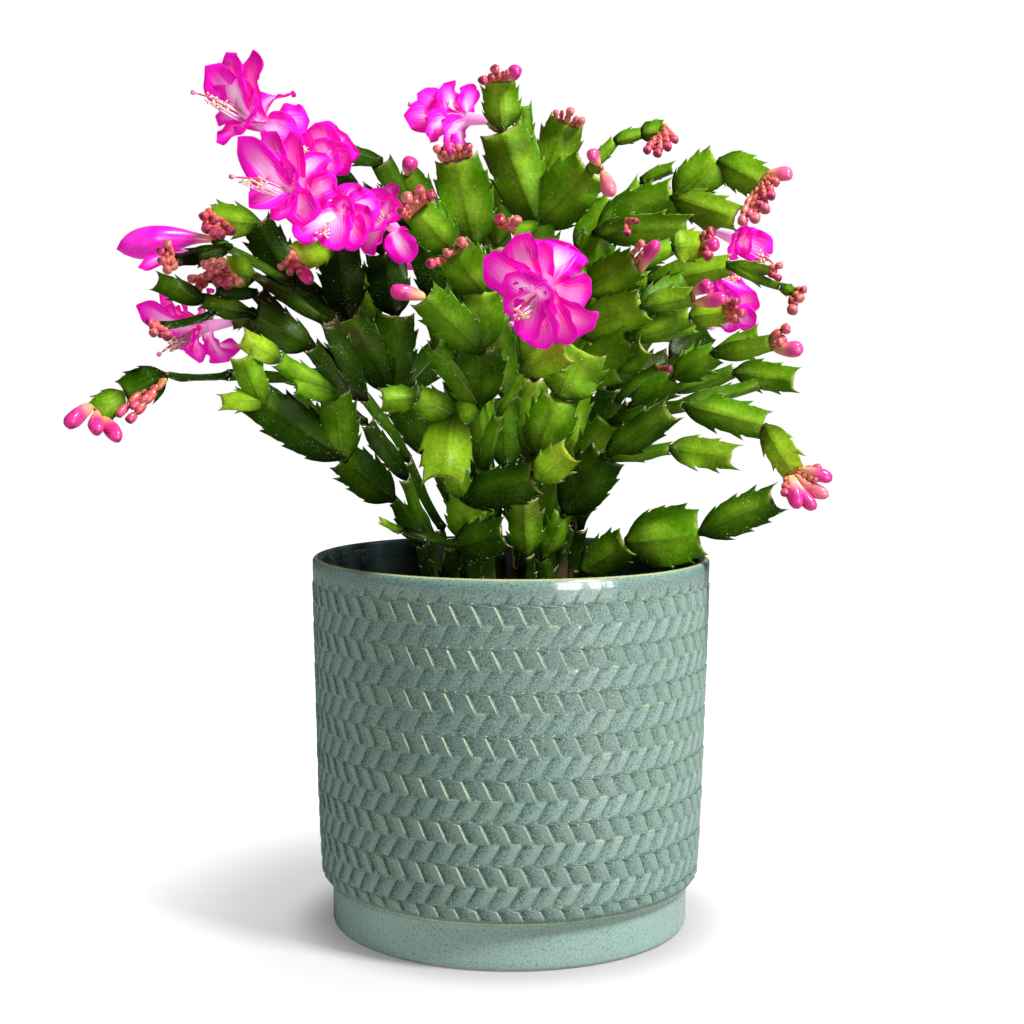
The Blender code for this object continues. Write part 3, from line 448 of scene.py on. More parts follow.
# What each leafy stem is made of. A branch starts in the soil, at (across, back), or at the tip
# of a segment that is already there, as (branch, segment). Each of its segments is the place of
# its tip, its width and how far it is turned from facing the front, in degrees.
STEMS = {
    "stem_far_left": (
        (("soil", -28, -14), (-34, 144, -18, 8, 60), (-45, 161, -26, 10, 50), (-64, 177, -36, 15, 0),
         (-95, 198, -50, 17, 0)),
        ((0, 2), (-67, 201, -42, 14, 0), (-88, 214, -50, 9, 25), (-102, 222, -56, 9, 20)),
        ((1, 0), (-82, 204, -52, 8, 40)),
        ((0, 3), (-102, 215, -56, 11, 0)),
        ((0, 3), (-110, 198, -56, 8, 20)),
        ((0, 2), (-84, 200, -30, 11, 10)),
    ),
    "stem_left_arm": (
        (("soil", -26, 2), (-30, 147, -4, 8, 70), (-40, 169, -10, 9, 50), (-55, 190, -16, 10, 40),
         (-80, 206, -22, 10, 50), (-107, 208, -28, 9, 60), (-131, 208, -34, 8, 75),
         (-147, 201, -40, 13, 5), (-157, 194, -46, 11, 10)),
    ),
    "stem_left_blooms": (
        (("soil", -19, 12), (-26, 150, 8, 8, 65), (-39, 176, 2, 9, 60), (-56, 199, -2, 9, 60),
         (-76, 219, -8, 12, 30), (-98, 231, -14, 15, 15), (-117, 236, -21, 8, 30),
         (-134, 243, -26, 9, 10)),
        ((0, 4), (-113, 231, -30, 6, 60), (-133, 226, -40, 6, 60)),
        ((0, 2), (-70, 228, 0, 11, 40), (-98, 245, -2, 8, 50), (-116, 244, -8, 7, 50)),
        ((2, 1), (-108, 248, -14, 12, 10)),
        ((0, 4), (-105, 228, -2, 8, 40)),
        ((0, 3), (-96, 239, -5, 9, 30), (-112, 240, -9, 7, 40)),
    ),
    "stem_left_upper": (
        (("soil", -13, 20), (-19, 152, 20, 8, 65), (-31, 178, 18, 9, 60), (-46, 202, 14, 13, 30),
         (-62, 230, 16, 15, 10), (-67, 259, 8, 18, 0)),
        ((0, 3), (-83, 242, 14, 13, 30), (-96, 265, 16, 16, 0)),
        ((1, 1), (-114, 267, -4, 12, 0)),
        ((1, 0), (-107, 256, 6, 7, 60), (-127, 251, -6, 9, 40)),
        ((0, 4), (-81, 252, -14, 13, 0)),
        ((3, 0), (-112, 259, 12, 6, 40)),
        ((0, 4), (-64, 268, -8, 8, 30)),
        ((0, 4), (-56, 264, -4, 8, 30)),
        ((0, 2), (-44, 231, 22, 18, 0), (-49, 254, 28, 17, 0), (-53, 272, 24, 13, 10)),
        ((0, 1), (-45, 198, 40, 12, 60)),
    ),
    "stem_arch": (
        (("soil", -5, 28), (-9, 150, 34, 8, 60), (-16, 178, 42, 10, 30), (-22, 206, 46, 12, 20),
         (-27, 234, 46, 14, 10), (-36, 263, 40, 13, 20), (-49, 288, 36, 12, 30), (-65, 292, 28, 8, 30)),
        ((0, 3), (-26, 262, 56, 13, 10), (-40, 284, 60, 13, 10)),
        ((0, 4), (-57, 277, 34, 12, 20), (-76, 291, 18, 10, 30)),
        ((0, 4), (-39, 258, 22, 8, 30)),
        ((0, 1), (-12, 203, 58, 12, 70)),
    ),
    "stem_centre_front": (
        (("soil", -6, -20), (-8, 148, -26, 9, 50), (-10, 173, -34, 9, 40), (-13, 197, -44, 9, 20),
         (-12, 218, -52, 18, 0), (-11, 240, -52, 16, 0), (-22, 255, -60, 17, 0), (-36, 270, -58, 15, 0)),
        ((0, 2), (-22, 193, -56, 9, 10), (-26, 169, -74, 18, 0)),
        ((0, 1), (-5, 194, -52, 7, 40), (4, 210, -62, 6, 50), (21, 217, -70, 10, 0)),
        ((0, 3), (-33, 238, -62, 14, 0)),
        ((0, 2), (-29, 219, -50, 10, 10)),
        ((1, 0), (-36, 200, -62, 12, 10), (-49, 199, -68, 10, 0)),
    ),
    "stem_centre_low": (
        (("soil", -16, -36), (-17, 145, -44, 12, 10), (-18, 162, -50, 14, 0), (-22, 172, -56, 10, 0)),
        ((0, 1), (9, 169, -62, 15, 0), (22, 179, -66, 12, 0)),
    ),
    "stem_low_left": (
        (("soil", -22, -44), (-22, 143, -54, 8, 30), (-3, 148, -60, 14, 0)),
        ((0, 0), (-42, 149, -62, 6, 60), (-50, 153, -66, 4, 50)),
    ),
    "stem_centre": (
        (("soil", 5, -34), (6, 140, -38, 7, 0), (5, 161, -44, 13, 0), (10, 178, -48, 10, 0),
         (18, 200, -52, 17, 0), (27, 218, -52, 21, 0)),
    ),
    "stem_right_front": (
        (("soil", 15, -24), (12, 139, -26, 8, 20), (20, 156, -30, 10, 20), (36, 178, -36, 18, 0),
         (60, 195, -44, 12, 10)),
        ((0, 2), (60, 181, -34, 8, 40), (84, 178, -36, 12, 0)),
        ((0, 1), (27, 172, -22, 10, 30), (37, 191, -24, 14, 10), (65, 198, -24, 8, 40),
         (96, 190, -28, 13, 0), (107, 172, -34, 11, 10)),
        ((2, 2), (94, 206, -16, 8, 40)),
    ),
    "stem_right_low": (
        (("soil", 26, -14), (27, 134, -18, 8, 30), (44, 145, -24, 15, 0), (72, 149, -28, 23, 0),
         (100, 162, -32, 14, 0)),
    ),
    "stem_right": (
        (("soil", 24, 4), (26, 150, 2, 9, 50), (33, 176, -2, 10, 50), (46, 197, -8, 10, 30),
         (61, 208, -12, 13, 10), (77, 217, -16, 12, 0), (98, 221, -20, 9, 20)),
        ((0, 4), (93, 225, -10, 8, 30)),
        ((0, 3), (69, 219, -4, 6, 50)),
        ((0, 2), (62, 203, 0, 8, 40), (84, 210, -2, 8, 25), (107, 207, -9, 12, 15)),
        ((0, 1), (40, 199, -16, 6, 50), (56, 212, -27, 6, 45)),
        ((0, 2), (56, 206, 14, 12, 60), (68, 216, 28, 13, 50)),
    ),
    "stem_right_fan": (
        (("soil", 12, -8), (13, 150, -10, 10, 40), (16, 178, -18, 11, 30), (21, 205, -28, 12, 20),
         (25, 225, -34, 12, 10), (28, 241, -36, 12, 10)),
        ((0, 2), (45, 223, -44, 14, 0), (67, 231, -44, 10, 20), (81, 233, -46, 11, 0)),
        ((1, 0), (70, 227, -34, 8, 40)),
        ((0, 3), (50, 235, -50, 16, 0), (68, 238, -50, 9, 20)),
        ((3, 0), (66, 244, -40, 10, 10)),
        ((0, 4), (47, 251, -50, 15, 0), (60, 257, -45, 8, 15), (71, 258, -41, 12, 0)),
        ((0, 4), (51, 244, -30, 9, 20), (82, 250, -32, 11, 10), (97, 248, -34, 6, 40)),
        ((6, 1), (101, 242, -30, 5, 40), (106, 240, -30, 5, 20)),
        ((0, 2), (41, 210, -38, 9, 20), (50, 219, -48, 10, 0)),
        ((0, 4), (22, 247, -54, 10, 20)),
    ),
    "stem_top_left": (
        (("soil", -3, 6), (-5, 150, 4, 9, 50), (-9, 178, 2, 10, 40), (-13, 205, -4, 12, 20),
         (-15, 231, -10, 14, 10), (-14, 257, -16, 15, 0), (-21, 289, -22, 20, 0)),
    ),
    "stem_top": (
        (("soil", 4, 4), (5, 150, 4, 10, 40), (7, 178, 2, 11, 30), (9, 207, 0, 13, 20),
         (10, 236, -6, 14, 10), (9, 266, -10, 16, 0), (-4, 300, -14, 20, 0), (-5, 318, -18, 14, 0)),
        ((0, 4), (12, 281, -2, 9, 20), (20, 303, -4, 17, 0)),
        ((0, 4), (29, 286, -20, 22, 0), (38, 296, -17, 6, 30), (48, 299, -14, 6, 20), (56, 300, -12, 9, 20)),
        ((0, 4), (-2, 263, -30, 8, 50)),
        ((2, 0), (33, 286, -26, 5, 30)),
        ((0, 5), (-8, 303, -3, 6, 30)),
        ((0, 0), (-2, 173, 18, 12, 10), (-3, 200, 24, 13, 0), (-6, 229, 27, 13, -10), (-6, 257, 22, 13, 10),
         (-5, 280, 12, 12, 0)),
        ((0, 4), (5, 289, 4, 9, 20), (4, 309, 2, 8, 10)),
    ),
    "stem_top_right": (
        (("soil", 15, 14), (18, 150, 14, 9, 50), (22, 177, 14, 10, 40), (26, 205, 14, 12, 20),
         (30, 233, 12, 14, 10), (32, 262, 8, 15, 0), (61, 275, 2, 21, 0), (77, 289, 0, 17, 0),
         (93, 281, -8, 14, 0)),
        ((0, 5), (84, 268, -8, 12, 0)),
        ((0, 4), (48, 281, 14, 8, 40), (60, 286, 16, 7, 40)),
        ((0, 4), (43, 266, -14, 5, 30)),
        ((0, 5), (76, 263, 14, 9, 30)),
        ((0, 3), (48, 236, 18, 11, 20), (63, 238, 14, 10, 20)),
        ((0, 3), (24, 256, 22, 13, 0), (38, 273, 24, 13, 0)),
        ((0, 4), (66, 264, -8, 12, 10)),
        ((0, 2), (39, 224, 38, 13, 60)),
    ),
    "stem_back_left": (
        (("soil", -12, 36), (-16, 150, 44, 9, 40), (-26, 177, 56, 12, 20), (-40, 203, 68, 14, 0),
         (-52, 227, 80, 16, 10), (-60, 247, 92, 16, -10)),
        ((0, 2), (-22, 222, 84, 15, 10), (-26, 244, 98, 16, 0)),
    ),
    "stem_back": (
        (("soil", 4, 40), (4, 150, 50, 9, 40), (4, 178, 62, 12, 20), (2, 206, 72, 14, 0),
         (-4, 233, 78, 16, 0), (-6, 262, 80, 16, 10)),
        ((0, 2), (16, 226, 88, 15, 0), (20, 247, 102, 16, 10)),
        ((0, 1), (14, 190, 86, 14, 20), (18, 196, 108, 15, 10)),
    ),
    "stem_back_right": (
        (("soil", 20, 34), (24, 150, 42, 9, 40), (30, 177, 50, 12, 20), (38, 204, 58, 14, 0),
         (48, 228, 68, 16, 0), (56, 250, 76, 16, 10)),
        ((0, 2), (60, 214, 74, 15, 0), (74, 226, 88, 15, 10)),
    ),
}

# The blooms: the segment that each grows from, as (stem, branch, segment), where the mouth of its
# tube is, where its stigma ends, and the tips of its petals, each with its width
BLOOMS = {
    "bloom_top_left": (
        ("stem_arch", 2, 1), (-96, 303, 0), (-119, 313, -12),
        ((-115, 323, 2, 13), (-107, 328, 4, 13), (-97, 329, 6, 12), (-83, 313, 10, 15), (-76, 303, 2, 13),
         (-82, 297, -4, 12), (-111, 295, -6, 12), (-97, 318, 22, 12), (-104, 320, 16, 10)),
    ),
    "bloom_upper_left": (
        ("stem_left_upper", 6, 0), (-82, 276, -32), (-105, 282, -54),
        ((-103, 297, -36, 12), (-93, 299, -26, 12), (-83, 299, -26, 12), (-70, 291, -26, 15),
         (-66, 281, -32, 12), (-99, 271, -42, 12), (-88, 266, -44, 12), (-75, 266, -40, 12)),
    ),
    "bloom_upper_left_back": (
        ("stem_arch", 0, 6), (-69, 290, 12), (-84, 293, 4),
        ((-74, 302, 4, 14), (-62, 298, 10, 16), (-60, 289, 2, 12), (-68, 282, 0, 12), (-78, 284, 14, 12),
         (-70, 298, 24, 12)),
    ),
    "bloom_left_centre": (
        ("stem_left_upper", 7, 0), (-64, 268, -26), (-74, 259, -42),
        ((-82, 260, -40, 12), (-66, 255, -42, 12), (-57, 257, -36, 12), (-50, 273, -26, 12),
         (-58, 280, -22, 12), (-52, 264, -32, 11)),
    ),
    "bloom_centre_back": (
        ("stem_arch", 3, 0), (-47, 266, 8), (-56, 272, -4),
        ((-53, 278, 8, 11), (-42, 272, 0, 11), (-38, 251, 4, 11), (-56, 254, 6, 11), (-60, 268, 16, 11),
         (-46, 280, 18, 11)),
    ),
    "bloom_top": (
        ("stem_top", 5, 0), (-18, 304, 4), (-38, 309, 6),
        ((-41, 305, -4, 11), (-33, 299, -8, 11), (-36, 313, 0, 12), (-26, 317, 2, 14), (-26, 295, -4, 11),
         (-19, 293, 2, 11), (-14, 315, 12, 11), (-30, 306, 16, 11)),
    ),
    "bloom_front": (
        ("stem_right_fan", 9, 0), (11, 240, -72), (0, 228, -86),
        ((-11, 252, -76, 14), (1, 261, -68, 16), (12, 259, -76, 8), (22, 258, -68, 18), (30, 239, -66, 15),
         (31, 226, -68, 14), (22, 220, -72, 12), (13, 218, -78, 14), (5, 221, -80, 11)),
    ),
    "bloom_left_low": (
        ("stem_left_blooms", 4, 0), (-117, 226, -8), (-133, 216, -18),
        ((-142, 234, -10, 12), (-133, 239, -4, 14), (-114, 239, 2, 12), (-117, 213, -14, 12),
         (-107, 213, -8, 14), (-103, 219, 4, 12), (-124, 232, 10, 12), (-127, 221, 4, 9)),
    ),
    "bloom_right": (
        ("stem_top_right", 4, 0), (84, 260, 8), (99, 250, 2),
        ((82, 254, 2, 9), (91, 264, 4, 11), (98, 255, 4, 11), (90, 257, -2, 9), (88, 264, 16, 11),
         (94, 254, 14, 11)),
    ),
    "bloom_right_back": (
        ("stem_top_right", 5, 1), (74, 243, 6), (88, 247, 0),
        ((64, 246, -6, 9), (77, 250, -6, 9), (90, 240, -2, 10), (86, 244, 2, 9), (76, 238, 16, 10),
         (85, 246, 18, 10), (68, 249, 14, 10)),
    ),
    "bloom_back_left": (
        ("stem_back_left", 1, 1), (-32, 256, 114), (-38, 262, 124),
        ((-44, 258, 112, 12), (-36, 266, 108, 12), (-24, 266, 112, 12), (-20, 256, 118, 12),
         (-28, 246, 120, 12), (-40, 248, 118, 12)),
    ),
    "bloom_back_right": (
        ("stem_back_right", 1, 1), (82, 233, 101), (88, 236, 108),
        ((92, 228, 100, 12), (92, 240, 96, 12), (80, 244, 96, 12), (74, 238, 104, 12), (80, 226, 106, 12),
         (90, 226, 106, 11)),
    ),
}

# The blooms whose stamens show, as a body of their own
OPEN_BLOOMS = ("bloom_top_left", "bloom_upper_left", "bloom_front", "bloom_left_low")

# The buds that stand by themselves or in a fan: the segment that they grow from, as (stem, branch,
# segment), and the tip and the half width of each
BUD_FANS = {
    "bud_great_left": (("stem_left_upper", 5, 0), ((-149, 255, 2, 6.2),)),
    "buds_left_tip": (
        ("stem_left_upper", 3, 1),
        ((-133, 255, -14, 1.8), (-133, 251, -14, 1.8), (-130, 258, -14, 1.7), (-131, 247, -13, 1.9)),
    ),
    "buds_far_left": (
        ("stem_left_arm", 0, 7),
        ((-169, 188, -58, 2.9), (-157, 186, -58, 2.7), (-149, 183, -54, 2.8)),
    ),
    "buds_left_curl": (
        ("stem_left_upper", 2, 0),
        ((-117, 267, -12, 1.9), (-115, 262, -13, 2.0), (-112, 260, -14, 2.0), (-109, 260, -14, 2.0),
         (-105, 261, -12, 1.9)),
    ),
    "buds_left_fan": (
        ("stem_left_blooms", 3, 0),
        ((-117, 249, -20, 2.0), (-116, 245, -20, 2.0), (-112, 242, -21, 2.0), (-107, 241, -21, 2.0),
         (-102, 242, -20, 1.7)),
    ),
    "buds_left_lime": (
        ("stem_left_upper", 4, 0),
        ((-88, 248, -20, 1.5), (-84, 246, -21, 1.5), (-80, 246, -21, 1.5), (-76, 243, -22, 2.5)),
    ),
    "buds_centre_fan": (
        ("stem_centre_front", 0, 6),
        ((-42, 270, -66, 1.8), (-40, 276, -66, 2.2), (-35, 279, -64, 2.0), (-30, 277, -62, 1.9)),
    ),
    "buds_centre_apex": (
        ("stem_top_left", 0, 5),
        ((-29, 294, -26, 1.7), (-25, 295, -27, 2.3), (-21, 295, -26, 1.6), (-17, 295, -26, 1.7)),
    ),
    "bud_centre_left": (("stem_centre_front", 3, 0), ((-46, 240, -66, 2.8),)),
    "buds_top": (
        ("stem_top", 0, 6),
        ((-12, 318, -26, 1.9), (-7, 323, -24, 1.9), (2, 323, -24, 2.5)),
    ),
    "bud_magenta": (("stem_top", 4, 0), ((29, 293, -30, 2.3), (37, 276, -34, 2.8))),
    "buds_top_right": (
        ("stem_top", 2, 3),
        ((50, 292, -24, 1.7), (54, 291, -24, 1.8), (58, 293, -24, 1.8), (61, 296, -22, 1.6)),
    ),
    "buds_right_fan": (
        ("stem_top_right", 0, 7),
        ((105, 284, -12, 2.7), (97, 275, -18, 1.9), (95, 270, -18, 2.2), (91, 266, -17, 2.2),
         (86, 265, -16, 1.9)),
    ),
    "buds_right_arch": (
        ("stem_right_fan", 5, 2),
        ((76, 263, -43, 2.2), (78, 258, -44, 2.6), (74, 253, -46, 2.2)),
    ),
    "buds_right_mid": (
        ("stem_right_fan", 3, 1),
        ((75, 243, -56, 2.4), (81, 238, -56, 2.5)),
    ),
    "buds_right_tip": (
        ("stem_right_fan", 7, 1),
        ((109, 237, -34, 2.0), (106, 232, -34, 2.2), (111, 241, -33, 1.6)),
    ),
    "buds_right_large": (
        ("stem_right", 0, 5),
        ((110, 219, -24, 3.0), (105, 227, -22, 2.2)),
    ),
    "buds_right_low": (
        ("stem_right_front", 2, 4),
        ((104, 163, -38, 1.6), (109, 158, -40, 2.8), (116, 158, -40, 2.7), (121, 163, -39, 2.6),
         (122, 169, -38, 2.4), (118, 174, -36, 1.7)),
    ),
}

# The small buds that are part of the stem they grow from, each in the same way
SMALL_BUDS = (
    (("stem_left_arm", 0, 5), ((-150, 192, -46, 1.7), (-146, 190, -46, 1.8))),
    (("stem_top", 1, 1), ((16, 307, -8, 1.2), (22, 308, -9, 1.7), (26, 304, -9, 1.5))),
    (("stem_top", 3, 0), ((-5, 268, -34, 2.2), (2, 268, -34, 2.0))),
    (("stem_arch", 1, 1), ((-38, 290, 56, 3.2),)),
    (("stem_left_blooms", 1, 1), ((-138, 228, -44, 1.6), (-136, 223, -45, 1.8), (-130, 222, -45, 2.2))),
    (("stem_left_blooms", 2, 2), ((-122, 244, -14, 1.9), (-120, 239, -14, 2.0))),
    (("stem_right_fan", 1, 2), ((85, 237, -52, 1.6), (88, 232, -52, 1.8), (85, 229, -50, 1.6))),
    (("stem_right_fan", 5, 0), ((49, 259, -55, 1.4), (55, 259, -56, 2.4))),
    (("stem_right_fan", 6, 2), ((102, 250, -36, 1.4), (101, 245, -37, 1.5))),
    (("stem_centre_front", 0, 5), ((-20, 259, -66, 2.0), (-32, 250, -68, 1.9))),
    (("stem_top_right", 3, 0), ((43, 261, -18, 1.6), (47, 266, -18, 1.3))),
    (("stem_right", 4, 1), ((60, 211, -34, 1.5),)),
)

# The segments that are still young, from 0 for the oldest to 1 for the palest green, the stems
# whose segments are painted dark as shade, and the stems on the sunny side, painted paler as light
YOUNG = {
    ("stem_far_left", 1, 0): 0.25, ("stem_far_left", 1, 1): 0.42, ("stem_far_left", 1, 2): 0.9,
    ("stem_far_left", 2, 0): 0.5, ("stem_far_left", 3, 0): 0.6, ("stem_far_left", 4, 0): 0.75,
    ("stem_left_arm", 0, 7): 0.45, ("stem_left_blooms", 3, 0): 0.7, ("stem_left_upper", 2, 0): 0.6,
    ("stem_left_upper", 4, 0): 0.85, ("stem_left_upper", 1, 1): 0.05, ("stem_centre_front", 1, 1): 0.75,
    ("stem_centre_front", 2, 2): 0.85, ("stem_centre_front", 5, 1): 0.6, ("stem_centre_front", 0, 5): 0.5,
    ("stem_centre_front", 0, 6): 0.4, ("stem_centre_low", 0, 2): 0.6, ("stem_centre_low", 1, 1): 0.85,
    ("stem_low_left", 1, 1): 0.7, ("stem_centre", 0, 4): 0.6, ("stem_right_front", 1, 1): 0.7,
    ("stem_right_front", 2, 4): 0.9, ("stem_right_low", 0, 4): 0.6, ("stem_right", 0, 5): 0.7,
    ("stem_right_fan", 1, 2): 0.8, ("stem_right_fan", 5, 2): 0.85, ("stem_right_fan", 6, 1): 0.7,
    ("stem_right_fan", 3, 1): 0.7, ("stem_top", 0, 7): 0.8, ("stem_top", 0, 6): 0.6,
    ("stem_top", 1, 1): 0.65, ("stem_top_right", 0, 7): 0.6, ("stem_top_right", 1, 0): 0.7,
    ("stem_top_left", 0, 6): 0.55,
}
SHADED_STEMS = (
    "stem_arch", "stem_far_left", "stem_low_left", "stem_left_arm", "stem_left_blooms", "stem_left_upper",
    "stem_back", "stem_back_left", "stem_back_right",
)
SUNNY_STEMS = ("stem_right_fan", "stem_right", "stem_top_right", "stem_top")

# Segments lower and further back than this stand in the shade and are dark too
SHADED_HEIGHT = 205.0
SHADED_DEPTH = -12.0

# How young the segments are that aren't named above: the first ones out of the soil, which are old
# and painted dark as shade at the plant's foot, the ones painted dark as shade, the plain ones and
# those on the sunny side, painted paler as light
FIRST_YOUTH = (0.0, 0.06)
SHADED_YOUTH = (0.0, 0.15)
PLAIN_YOUTH = (0.08, 0.50)
SUNNY_YOUTH = (0.36, 0.60)

# The segments that bear a fan, small buds or a bloom
BEARERS = {fan[0] for fan in (*BUD_FANS.values(), *SMALL_BUDS, *BLOOMS.values())}


def seen(across, up, depth):
    """The point that shows at this place across and up, this far behind the axis plane."""
    reach = (EYE_DISTANCE + depth) / EYE_DISTANCE
    return Vector((across * reach, depth, EYE_HEIGHT + (up - EYE_HEIGHT) * reach))


def joint_place(stem, number, order):
    """Where a segment of a stem ends."""
    return seen(*STEMS[stem][number][1 + order][:3])


def blade_frame(start, tip, turn):
    """Along the blade, across it and out of its face, which looks to the front at no turn."""
    along = (tip - start).normalized()
    to_eye = Vector((0.0, -EYE_DISTANCE, EYE_HEIGHT)) - (start + tip) / 2
    outward = (to_eye - along * to_eye.dot(along)).normalized()
    side = along.cross(outward)
    angle = math.radians(turn)
    turned_out = outward * math.cos(angle) + side * math.sin(angle)
    turned_side = side * math.cos(angle) - outward * math.sin(angle)
    return along, turned_side, turned_out


def eased(value, low, high):
    """A smooth step from 0 at low to 1 at high."""
    share = np.clip((value - low) / (high - low), 0, 1)
    return share * share * (3 - 2 * share)


def smooth_through(shares, keys):
    """The smooth curve through keys of (share, value), read at the given shares."""
    places, values = (np.array(column, float) for column in zip(*keys))
    slopes = np.gradient(values, places)
    number = np.clip(np.searchsorted(places, shares) - 1, 0, len(places) - 2)
    gap = places[number + 1] - places[number]
    part = np.clip((shares - places[number]) / gap, 0, 1)
    rising = part * part * (3 - 2 * part)
    leaving = part * (1 - part) ** 2 * gap * slopes[number]
    arriving = part * part * (part - 1) * gap * slopes[number + 1]
    return values[number] * (1 - rising) + values[number + 1] * rising + leaving + arriving


def random_way(draw, reach=1.0):
    """A way that lies up to this far out along each axis."""
    return np.array([draw.uniform(-reach, reach) for _ in range(3)])


def for_each_edge(columns, low, high, draw):
    """One random value for the columns left of the midrib, and another for the rest."""
    return np.where(columns < 0, draw.uniform(low, high), draw.uniform(low, high))


def paint_of(*values):
    """The four painted values of each point, from plain numbers and rows or grids of them."""
    return np.stack(np.broadcast_arrays(*values), -1)


class Shape:
    """The points, faces and painted values of one piece, in millimetres."""

    def __init__(self):
        self.points = []
        self.paint = []
        self.quads = []
        self.triangles = []
        self.count = 0

    def add(self, points, paint, quads=(), triangles=()):
        """Take in one shell, with four painted values at each of its points."""
        self.points.append(np.asarray(points, float).reshape(-1, 3))
        self.paint.append(np.asarray(paint, float).reshape(-1, 4))
        self.quads.append(np.asarray(quads, int).reshape(-1, 4) + self.count)
        self.triangles.append(np.asarray(triangles, int).reshape(-1, 3) + self.count)
        self.count += len(self.points[-1])

    def made(self, name, finish, slot, *nodes):
        """The piece itself, which rides on the part and stands for the solids named."""
        mesh = bpy.data.meshes.new(name)
        points = np.concatenate(self.points) * MM
        quads = np.concatenate(self.quads)
        triangles = np.concatenate(self.triangles)
        corners = np.concatenate((quads.ravel(), triangles.ravel()))
        sizes = np.concatenate((np.full(len(quads), 4), np.full(len(triangles), 3)))
        mesh.vertices.add(len(points))
        mesh.vertices.foreach_set("co", points.ravel())
        mesh.loops.add(len(corners))
        mesh.loops.foreach_set("vertex_index", corners)
        mesh.polygons.add(len(sizes))
        mesh.polygons.foreach_set("loop_start", np.cumsum(sizes) - sizes)
        mesh.update(calc_edges=True)
        paint = mesh.color_attributes.new("paint", "FLOAT_COLOR", "POINT")
        paint.data.foreach_set("color", np.concatenate(self.paint).ravel())
        mesh.shade_smooth()
        mesh.materials.append(finish)
        piece = bpy.data.objects.new(name, mesh)
        bpy.context.scene.collection.objects.link(piece)
        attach(piece, "root")
        if nodes:
            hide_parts(*nodes)


def grid_quads(grid):
    """The four corners of each face of a grid of point numbers."""
    corners = (grid[:-1, :-1], grid[:-1, 1:], grid[1:, 1:], grid[1:, :-1])
    return np.stack(corners, -1).reshape(-1, 4)


def ring_faces(rings, sides):
    """The faces between closed rings, and the two fans that close them to the last two points."""
    numbers = np.arange(rings * sides).reshape(rings, sides)
    wrapped = np.concatenate((numbers, numbers[:, :1]), axis=1)
    start_fan = np.stack((wrapped[0, 1:], wrapped[0, :-1], np.full(sides, rings * sides)), -1)
    end_fan = np.stack((wrapped[-1, :-1], wrapped[-1, 1:], np.full(sides, rings * sides + 1)), -1)
    return grid_quads(wrapped), np.concatenate((start_fan, end_fan))


def inside_of(grid):
    """1 at the inner points of a grid and 0 round its edge."""
    inner = np.zeros(grid.shape)
    inner[1:-1, 1:-1] = 1
    return inner


def add_blade(shape, face, thick, outward, paint):
    """A closed thin blade, this thick on both sides of a grid of points and sharp at its edge."""
    rows, columns = thick.shape
    offset = (thick * inside_of(thick))[..., None] * outward
    upper = np.arange(rows * columns).reshape(rows, columns)
    lower = upper.copy()
    lower[1:-1, 1:-1] = rows * columns + np.arange((rows - 2) * (columns - 2)).reshape(rows - 2, -1)
    points = np.concatenate(((face + offset).reshape(-1, 3), (face - offset)[1:-1, 1:-1].reshape(-1, 3)))
    values = np.concatenate((paint.reshape(-1, 4), paint[1:-1, 1:-1].reshape(-1, 4)))
    shape.add(points, values, np.concatenate((grid_quads(upper), grid_quads(lower)[:, ::-1])))


def add_tube(shape, centres, radii, sides, paint, ridge=0.0, twist=0.0):
    """A round body along a line of points, closed by a point at each end of the line."""
    centres = np.asarray(centres, float)
    count = len(centres)
    along = np.gradient(centres, axis=0)
    along /= np.linalg.norm(along, axis=1)[:, None]
    chord = Vector(centres[-1] - centres[0]).normalized()
    first = np.array(chord.orthogonal().normalized())
    side = first - along * (along @ first)[:, None]
    side /= np.linalg.norm(side, axis=1)[:, None]
    other = np.cross(along, side)
    turn = 2 * math.pi * np.arange(sides) / sides
    swell = 1 + ridge * np.cos(3 * turn + twist * np.linspace(0, 1, count)[:, None])
    reach = np.asarray(radii, float)[:, None] * swell
    ring = side[:, None] * np.cos(turn)[:, None] + other[:, None] * np.sin(turn)[:, None]
    points = (centres[:, None] + ring * reach[:, :, None])[1:-1].reshape(-1, 3)
    values = np.broadcast_to(paint, (count, 4))
    shape.add(
        np.concatenate((points, centres[:1], centres[-1:])),
        np.concatenate((np.repeat(values[1:-1], sides, axis=0), values[:1], values[-1:])),
        *ring_faces(count - 2, sides),
    )


def toothed_edges(kind, length, draw):
    """The rows of a segment, where its teeth stand, and how they push its points ahead and out."""
    points = [point + draw.uniform(-TOOTH_STRAY, TOOTH_STRAY) for point in TEETH[kind]]
    rows = set(np.linspace(FIRST_SHARE, LAST_SHARE, EVEN_ROWS).round(3))
    for point in points:
        rows -= {row for row in rows if abs(row - point) < CLEAR_BEFORE}
        rows |= {point + row[0] for row in TOOTH_ROWS}
        rows |= {point - CLEAR_BEFORE, point + CLEAR_AFTER}
    rows = np.array(sorted(row for row in rows if FIRST_SHARE - ROW_SLACK <= row <= LAST_SHARE + ROW_SLACK))
    places, pushes, stands = zip(*TOOTH_ROWS)
    ahead = np.zeros((2, len(rows)))
    out = np.zeros((2, len(rows)))
    for edge in range(2):
        for point in points:
            size = draw.uniform(*TOOTH_SIZES) * min(1.0, length / FULL_TOOTH_LENGTH)
            ahead[edge] += size * np.interp(rows - point, places, pushes, 0, 0)
            out[edge] += size * np.interp(rows - point, places, stands, 0, 0)
    edge = np.where(COLUMNS < 0, 0, 1)
    tooth = np.interp(np.abs(COLUMNS), TOOTH_DEPTHS, TOOTH_PARTS)
    return rows, points, ahead.T[:, edge] * tooth, out.T[:, edge] * tooth


